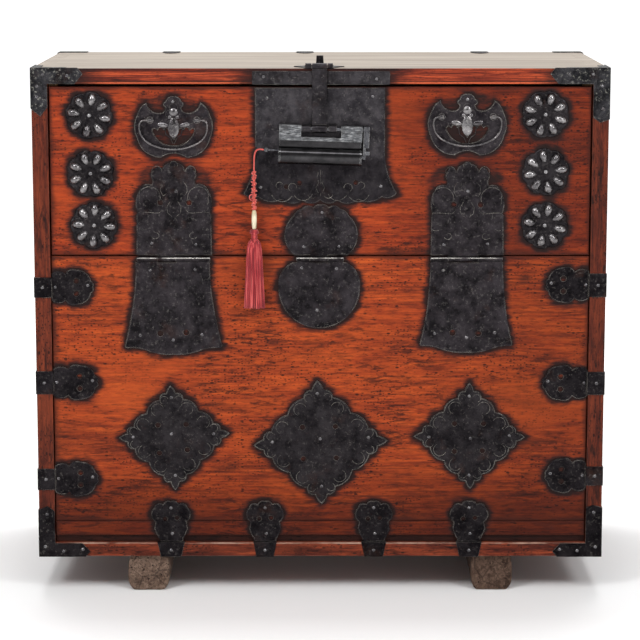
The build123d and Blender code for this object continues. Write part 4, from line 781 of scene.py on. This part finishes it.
def chased(name, curves, body, r=0.0006, mat=None, y=SHEET):
    """Raised lines on a plate, each a list of (x mm, drop mm)."""
    parts = []
    for pts in curves:
        dense = []
        for (x0, s0), (x1, s1) in zip(pts, pts[1:]):
            n = max(1, int(math.hypot(x1 - x0, s1 - s0) / 1.5))
            dense += [(x0 + (x1 - x0) * i / n, s0 + (s1 - s0) * i / n) for i in range(n)]
        dense.append(pts[-1])
        radii = [r * (0.45 + 0.55 * math.sin(math.pi * min(1.0, max(0.0, (i + 0.6) / len(dense)))) ** 0.5) for i in range(len(dense))]
        parts.append(tube([(x / 1000.0, y, TOP - s / 1000.0) for x, s in dense], radii, 6, squash=0.75))
    v, f = joined(parts)
    return piece(name, v, f, mat or M["rim"], body)


def arc(cx, s, r, a0, a1, squash=1.0, n=18):
    """Part of a ring; angle 0 points right, 90 down."""
    return [(cx + r * math.cos(math.radians(a0 + (a1 - a0) * i / n)), s + squash * r * math.sin(math.radians(a0 + (a1 - a0) * i / n))) for i in range(n + 1)]


rim_piece("diamond_rims", ["diamond_plate_left", "diamond_plate_centre", "diamond_plate_right"], "case")
rim_piece("strap_rims", ["side_straps_left", "side_straps_right", "bottom_straps"], "case", amount=0.0011, r=0.0005, mat=M["iron"])
rim_piece("lower_leaf_rims", ["left_hinge_lower_leaf", "centre_hinge_lower_leaf", "right_hinge_lower_leaf"], "case", amount=0.0012, r=0.0005, mat=M["iron"])
rim_piece("upper_leaf_rims", ["left_hinge_upper_leaf", "centre_hinge_upper_leaf", "right_hinge_upper_leaf"], "door", amount=0.0012, r=0.0005, mat=M["iron"])
rim_piece("handle_plate_rims", ["handle_plate_left", "handle_plate_right"], "door", amount=0.0011, r=0.0005, mat=M["rim"])
rim_piece("lock_plate_rims", ["lock_plate"], "door", amount=0.0012, r=0.0005, mat=M["iron"])

for side, cx, dy in (("left", -229.5, 0.0), ("right", 230.5, 1.2)):
    lines = []
    for m in (-1, 1):
        lines.append([(cx + m * x, s + dy) for x, s in ((55.5, 225.6), (46, 225.0), (38, 225.4), (30, 226.4), (23, 226.0), (18.5, 221.0))])
        lobe = arc(38.6, 202, 17.2, -200, 40, 1.0) if m > 0 else arc(-38.6, 202, 17.2, 20, -220, 1.0)
        lines.append([(cx + x, s + dy) for x, s in lobe if abs(x) < 54])
        small = arc(26.5, 160, 7.6, -190, 20) if m > 0 else arc(-26.5, 160, 7.6, 10, -200)
        lines.append([(cx + x, s + dy) for x, s in small])
        lines.append([(cx + m * x, s + dy) for x, s in ((14, 176), (20, 183), (21, 192), (17, 199), (12, 196))])
        lines.append([(cx + m * x, s + dy) for x, s in ((44, 252), (50, 253.2), (54, 252.2))])
        lines.append([(cx + m * x, s + dy) for x, s in ((6, 208), (11, 216), (10, 226), (3, 232))])
        lines.append([(cx + m * (30 + 6 * math.cos(t)), 262 + dy + 5 * math.sin(t)) for t in np.linspace(0.4, 4.8, 16)])
    lines.append([(cx + x, s + dy) for x, s in arc(0, 151, 6.2, -200, 20)])
    chased(side + "_hinge_chasing", lines, "door", r=0.00055, mat=M["rim"])

lines = []
for m in (-1, 1):
    lines += [[(m * x, s) for x, s in arc(60, 191, 17.5, 20, 158)], [(m * x, s) for x, s in arc(27, 191, 15.5, 22, 160)],
              [(m * x, s) for x, s in arc(43.5, 186, 6.5, -190, 60)], [(m * x, s) for x, s in arc(64, 183, 5.5, -160, 90)],
              [(m * x, s) for x, s in arc(12.5, 196, 7.0, -30, 150)], [(m * x, s) for x, s in ((3, 160), (5, 170), (2.4, 178), (7, 186), (3, 195))]]
lines.append([(0.5, 158), (0.5, 200)])
chased("lock_plate_chasing", lines, "door", r=0.0006, mat=M["rim"])

lines = []
for cx in (-229.0, 229.5):
    for m in (-1, 1):
        lines += [[(cx + m * x, s) for x, s in ((3, 78), (9, 83), (14, 92), (12, 103), (5, 108), (1, 118))],
                  [(cx + m * x, s) for x, s in arc(7, 71, 5.5, -150, 90)], [(cx + m * x, s) for x, s in ((16, 80), (26, 86), (38, 82), (46, 76))]]
    lines.append([(cx + x, s) for x, s in arc(0, 61, 6.5, -200, 20)])
chased("handle_plate_chasing", lines, "door", r=0.0007, mat=M["iron_grey"])



def blister(cx, s, rx, rs, h, lean=0.0, n=9, m=28):
    """A low dome beaten up from the plate: centre and half sizes in mm."""
    verts = [(cx / 1000, SHEET - h / 1000, TOP - s / 1000)]
    for j in range(1, n + 1):
        q = j / n
        for i in range(m):
            a = 2 * math.pi * i / m
            x = cx + q * rx * math.cos(a) + lean * q * rs * math.sin(a)
            verts.append((x / 1000, SHEET + 0.0001 - h / 1000 * math.cos(q * math.pi / 2) ** 0.9 if j < n else SHEET + 0.0002, TOP - (s + q * rs * math.sin(a)) / 1000))
    faces = [(0, 1 + (i + 1) % m, 1 + i) for i in range(m)]
    for j in range(n - 1):
        for i in range(m):
            a, b = 1 + j * m + i, 1 + j * m + (i + 1) % m
            faces.append((a, b, b + m, a + m))
    return verts, faces


parts = []
for cx, up in ((-229.0, 0.0), (229.5, -3.0)):
    parts += [blister(cx, 92 + up, 8.5, 16, 2.6), blister(cx, 68 + up, 7.0, 6.5, 2.2), blister(cx - 17, 88 + up, 8, 4.0, 1.4, 0.6), blister(cx + 17, 88 + up, 8, 4.0, 1.4, -0.6),
              blister(cx - 6, 76 + up, 3.2, 3.2, 1.2), blister(cx + 6, 76 + up, 3.2, 3.2, 1.2)]
v, f = joined(parts)
piece("handle_plate_bosses", v, f, M["bat"], "door")
parts = []
for cx, dy in ((-229.5, 0.0), (230.5, 1.2)):
    parts += [blister(cx, 151 + dy, 6.0, 6.0, 1.6), blister(cx - 25, 160 + dy, 6.5, 6.0, 1.4), blister(cx + 25, 160 + dy, 6.5, 6.0, 1.4),
              blister(cx, 173 + dy, 5.0, 8.0, 1.6), blister(cx - 11, 181 + dy, 4.0, 8.0, 1.3, -0.5), blister(cx + 11, 181 + dy, 4.0, 8.0, 1.3, 0.5),
              blister(cx, 206 + dy, 6.0, 9.0, 1.5)]
v, f = joined(parts)
piece("crown_bosses", v, f, M["iron_dark"], "door")
parts = []
for m in (-1, 1):
    parts += [blister(m * 6.5, 171, 3.2, 6.5, 1.2, -0.3 * m), blister(m * 9, 184, 4.0, 6.0, 1.3, 0.4 * m), blister(m * 22, 196, 5.0, 3.5, 1.1, 0.5 * m),
              blister(m * 43, 195, 4.0, 5.5, 1.2), blister(m * 74, 191, 5.0, 7.0, 1.3, 0.4 * m), blister(m * 66, 196, 5.0, 4.0, 1.1)]
parts += [blister(0.5, 188, 5.0, 9.0, 1.5), blister(78, 176, 4, 8, 1.2), blister(71, 160, 3.2, 7, 1.0), blister(70, 140, 3, 8, 0.9), blister(69, 118, 3, 8, 0.9)]
v, f = joined(parts)
piece("lock_plate_bosses", v, f, M["lock_iron"], "door")



def petal(cx, s, turn, inner, outer, half, h, n=8, m=26):
    """A long drop beaten up from a rosette plate, pointing to its centre; sizes in mm."""
    mid, reach = (inner + outer) / 2, (outer - inner) / 2
    ux, us = math.cos(math.radians(turn)), math.sin(math.radians(turn))
    verts = [((cx + mid * ux) / 1000, SHEET - h / 1000, TOP - (s + mid * us) / 1000)]
    for j in range(1, n + 1):
        q = j / n
        for i in range(m):
            a = 2 * math.pi * i / m
            along = mid + q * reach * math.cos(a)
            off = q * half * math.sin(a) * (0.88 + 0.12 * math.cos(a))
            y = SHEET + 0.0002 if j == n else SHEET - h / 1000 * math.cos(q * math.pi / 2) ** 0.72
            verts.append(((cx + along * ux - off * us) / 1000, y, TOP - (s + along * us + off * ux) / 1000))
    faces = [(0, 1 + (i + 1) % m, 1 + i) for i in range(m)]
    for j in range(n - 1):
        for i in range(m):
            a, b = 1 + j * m + i, 1 + j * m + (i + 1) % m
            faces.append((a, b, b + m, a + m))
    return verts, faces


parts = [petal(cx, drop, turn + 45 * k, 14.0, 35.0, 7.9, 5.8) for group in ROSETTES.values() for cx, drop, turn in group for k in range(8)]
v, f = joined(parts)
piece("rosette_petals", v, f, M["petal"], "door")

lines = []
for corners in DIAMONDS:
    mid = (sum(c[0] for c in corners) / 4, sum(c[1] for c in corners) / 4)
    for i in range(4):
        a, b = corners[i], corners[(i + 1) % 4]
        length = math.dist(a, b)
        along = ((b[0] - a[0]) / length, (b[1] - a[1]) / length)
        inward = (-along[1], along[0])
        if inward[0] * (mid[0] - a[0]) + inward[1] * (mid[1] - a[1]) < 0:
            inward = (-inward[0], -inward[1])
        for flip in (False, True):
            for t, d, r in ((0.36, 13.0, 10.0), (0.205, 9.6, 6.4)):
                lobe = []
                for step in range(19):
                    a_turn = math.radians(-112 + 224 * step / 18)
                    at, deep = length * (1 - t if flip else t) + r * math.sin(a_turn), d - r * math.cos(a_turn)
                    lobe.append((a[0] + along[0] * at + inward[0] * deep, a[1] + along[1] * at + inward[1] * deep))
                lines.append(lobe)
chased("diamond_chasing", lines, "case", r=0.0006, mat=M["rim"])

# ---------------------------------------------------------- padlock's tassel
cord_y = FRONT - 0.0065 - 0.0061
rod_z = TOP - 0.0935
eye = Vector((-0.0842 * math.cos(tilt) + math.sin(tilt) * -0.0346, cord_y, rod_z + 0.0842 * math.sin(tilt) - 0.0346))
TX = -0.1034
route = [(eye.x - 0.00305, eye.z), (-0.0966, eye.z + 0.0022), (-0.1024, eye.z - 0.0046), (-0.1034, eye.z - 0.0196), (-0.1032, eye.z - 0.0460),
         (-0.1036, eye.z - 0.0800), (-0.1032, eye.z - 0.1180), (-0.1036, eye.z - 0.1560), (-0.1034, eye.z - 0.1930)]
curve = bpy.data.curves.new("cord_curve", "CURVE")
curve.dimensions = "3D"
spline = curve.splines.new("NURBS")
spline.points.add(len(route) - 1)
for p, (x, z) in zip(spline.points, route):
    p.co = (x, cord_y, z, 1.0)
spline.order_u = 3
spline.use_endpoint_u = True
spline.resolution_u = 16
curve.bevel_depth = 0.0012
curve.bevel_resolution = 5
curve.use_fill_caps = True
cord = bpy.data.objects.new("tassel_cord_line", curve)
scene.collection.objects.link(cord)
curve.materials.append(M["cord"])
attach(cord, "tassel")
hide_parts("tassel_cord")

tz = eye.z - 0.0332
parts = []
for k in range(2):
    pts, n = [], 220
    for i in range(n + 1):
        u = i / n
        a = u * 2 * math.pi * 7.5 + math.pi * k
        swell = min(1.0, u / 0.03, (1 - u) / 0.03) * (0.62 + 0.38 * math.sin(u * 40.0 + 1.0))
        pts.append((TX + 0.0026 * swell * math.sin(a), cord_y + 0.0022 * swell * math.cos(a), tz - 0.0612 * u))
    parts.append(tube(pts, 0.00115, 8))
for d, r, lean, shift in ((1.6, 2.6, 0.25, 0), (5.6, 3.3, -0.5, 0.2), (11.5, 2.5, 0.5, -0.3), (18.2, 3.6, -0.35, -0.4), (21.0, 3.2, 0.45, 0.3), (29.4, 3.9, -0.5, 0.2), (32.2, 3.4, 0.4, -0.3),
                          (38.6, 3.0, 0.6, 0.3), (44.0, 3.5, -0.4, 0), (50.2, 2.7, 0.5, 0.2), (55.0, 3.3, -0.45, 0.1), (58.6, 2.6, 0.2, 0)):
    ring = [(TX + (r * math.cos(a) + shift) / 1000, cord_y + 0.86 * r * math.sin(a) / 1000, tz - d / 1000 + lean * r * math.cos(a) / 1000) for a in np.linspace(0, 2 * math.pi, 25)]
    parts.append(tube(ring, 0.00105, 8, cap=False))
loop = [(TX - (2.0 + 5.2 * math.sin(a)) / 1000, cord_y - 0.0030 - 0.0012 * math.cos(a), tz - (41.0 - 5.0 * math.cos(a)) / 1000) for a in np.linspace(0, math.pi, 22)]
parts.append(tube(loop, 0.00095, 8))
v, f = joined(parts)
knot = piece("tassel_braid", v, f, M["cord"], "tassel", stands_for=["tassel_knot"])


def lathe(profile, seg=40, wave=0.0, count=0):
    verts, faces = [], []
    for r, d in profile:
        for i in range(seg):
            a = 2 * math.pi * i / seg
            q = r * (1 + wave * math.cos(count * a))
            verts.append((TX + q * math.cos(a) / 1000, cord_y + q * math.sin(a) / 1000, tz - d / 1000))
    for j in range(len(profile) - 1):
        for i in range(seg):
            k = (i + 1) % seg
            faces.append((j * seg + i, j * seg + k, (j + 1) * seg + k, (j + 1) * seg + i))
    faces.append(tuple(range(seg)))
    faces.append(tuple(reversed(range((len(profile) - 1) * seg, len(profile) * seg))))
    return verts, faces


v, f = lathe([(1.6, 61.5), (2.6, 61.9), (3.4, 64.0), (3.9, 69.0), (4.1, 76.0), (3.9, 83.0), (3.4, 88.8), (2.6, 91.0), (1.6, 91.4)])
bead = piece("tassel_bead_turned", v, f, M["bead"], "tassel", stands_for=["tassel_bead"])

parts = []
for j, (d, r) in enumerate([(93.2, 5.0), (95.2, 5.9), (97.2, 6.2)]):
    ring = [(TX + r * math.cos(a) / 1000, cord_y + r * math.sin(a) / 1000, tz - d / 1000) for a in np.linspace(0, 2 * math.pi, 41)]
    parts.append(tube(ring, 0.0011, 8, cap=False))
for j, (d, r) in enumerate([(101.2, 3.9), (103.0, 4.0), (104.8, 4.2)]):
    ring = [(TX + r * math.cos(a) / 1000, cord_y + r * math.sin(a) / 1000, tz - d / 1000) for a in np.linspace(0, 2 * math.pi, 33)]
    parts.append(tube(ring, 0.0010, 8, cap=False))
parts.append(lathe([(2.0, 91.8), (4.8, 92.6), (5.6, 95.5), (5.6, 98.0), (4.2, 100.2), (3.9, 106.5)]))
v, f = joined(parts)
head = piece("tassel_head_bound", v, f, M["silk"], "tassel", stands_for=["tassel_head"])

parts = []
for layer, (count, shrink) in enumerate([(58, 1.0), (46, 0.84), (34, 0.62)]):
    for k in range(count):
        a = 2 * math.pi * (k + 0.5 * layer) / count + rng.uniform(-0.03, 0.03)
        end = rng.uniform(214.2, 216.8) if layer == 0 else rng.uniform(212.0, 216.5)
        sway = rng.uniform(-0.035, 0.035)
        pts, radii = [], []
        for i in range(15):
            u = i / 14
            d = 105.4 + (end - 105.4) * u
            q = (d - 105.4) / 111.2
            spread = 3.6 + 7.2 * (1 - math.exp(-q * 20)) + 5.4 * q ** 1.15
            rx = spread * shrink
            ry = spread * shrink * (0.92 - 0.2 * q)
            w = a + sway * q + 0.02 * math.sin(7 * q + k)
            pts.append((TX + rx * math.cos(w) / 1000, cord_y + ry * math.sin(w) / 1000, tz - d / 1000))
            radii.append(0.00070 if i else 0.0005)
        parts.append(tube(pts, radii, 6))
v, f = joined(parts)
skirt = piece("tassel_threads", v, f, M["silk"], "tassel", stands_for=["tassel_skirt"])

# ------------------------------------------------------------- studio
floor_mat = Graph("studio_floor")
soft = floor_mat.noise(floor_mat.coord((0.7, 0.7, 0.7)), 1.0, 2.0)
floor_mat.finish(floor_mat.ramp(soft, [(0.3, (0.93, 0.93, 0.93, 1)), (0.7, (0.96, 0.96, 0.96, 1))]), 0.7, specular=0.2)
# painted light: the floor glows, from none within 0.45 m of the centre to full beyond 2.8 m, to whiten the far floor
reach = floor_mat.node("ShaderNodeVectorMath", {"operation": "LENGTH"}, Vector=floor_mat.coord((1.0, 1.0, 0.0)))
floor_mat.bsdf.inputs["Emission Color"].default_value = (1.0, 1.0, 1.0, 1.0)
floor_mat.put(floor_mat.bsdf.inputs["Emission Strength"], floor_mat.math("MULTIPLY", floor_mat.step(reach.outputs["Value"], 0.45, 2.8), 0.74))
me = bpy.data.meshes.new("studio_floor")
me.from_pydata([(-40.0, -40.0, -0.001), (40.0, -40.0, -0.001), (40.0, 40.0, -0.001), (-40.0, 40.0, -0.001)], [], [(0, 1, 2, 3)])
sweep = bpy.data.objects.new("studio_floor", me)
scene.collection.objects.link(sweep)
me.materials.append(floor_mat.mat)


def area(name, loc, target, size, power, size_y=None):
    d = bpy.data.lights.new(name, "AREA")
    d.energy = power
    d.size = size
    if size_y:
        d.shape = "RECTANGLE"
        d.size_y = size_y
    o = bpy.data.objects.new(name, d)
    o.location = loc
    o.rotation_euler = (Vector(target) - Vector(loc)).to_track_quat("-Z", "Y").to_euler()
    scene.collection.objects.link(o)
    return o


area("key_left", (-1.7, -2.5, 2.5), (0, -0.2, 0.5), 0.75, 44, 0.9)
area("key_right", (1.9, -2.5, 2.3), (0, -0.2, 0.5), 0.75, 36, 0.9)
area("overhead", (0, 0.7, 2.7), (0, 0.0, 0.8), 2.0, 60, 1.2)
area("floor_fill", (0, -2.2, 3.4), (0, -0.9, 0.0), 2.6, 34, 1.0)
world = bpy.data.worlds.new("studio")
world.use_nodes = True
bg = next(n for n in world.node_tree.nodes if n.type == "BACKGROUND")
# the dome is white at the horizon and softer overhead
nt = world.node_tree
tc = nt.nodes.new("ShaderNodeTexCoord")
sep = nt.nodes.new("ShaderNodeSeparateXYZ")
rise = nt.nodes.new("ShaderNodeMapRange")
rise.interpolation_type = "SMOOTHSTEP"
nt.links.new(tc.outputs["Generated"], sep.inputs["Vector"])
nt.links.new(sep.outputs["Z"], rise.inputs["Value"])
rise.inputs["From Min"].default_value = 0.10
rise.inputs["From Max"].default_value = 0.22
rise.inputs["To Min"].default_value = 1.0
rise.inputs["To Max"].default_value = 0.38
nt.links.new(rise.outputs["Result"], bg.inputs["Strength"])
bg.inputs["Color"].default_value = (1.0, 1.0, 1.0, 1.0)
scene.world = world
scene.view_settings.view_transform = "Standard"
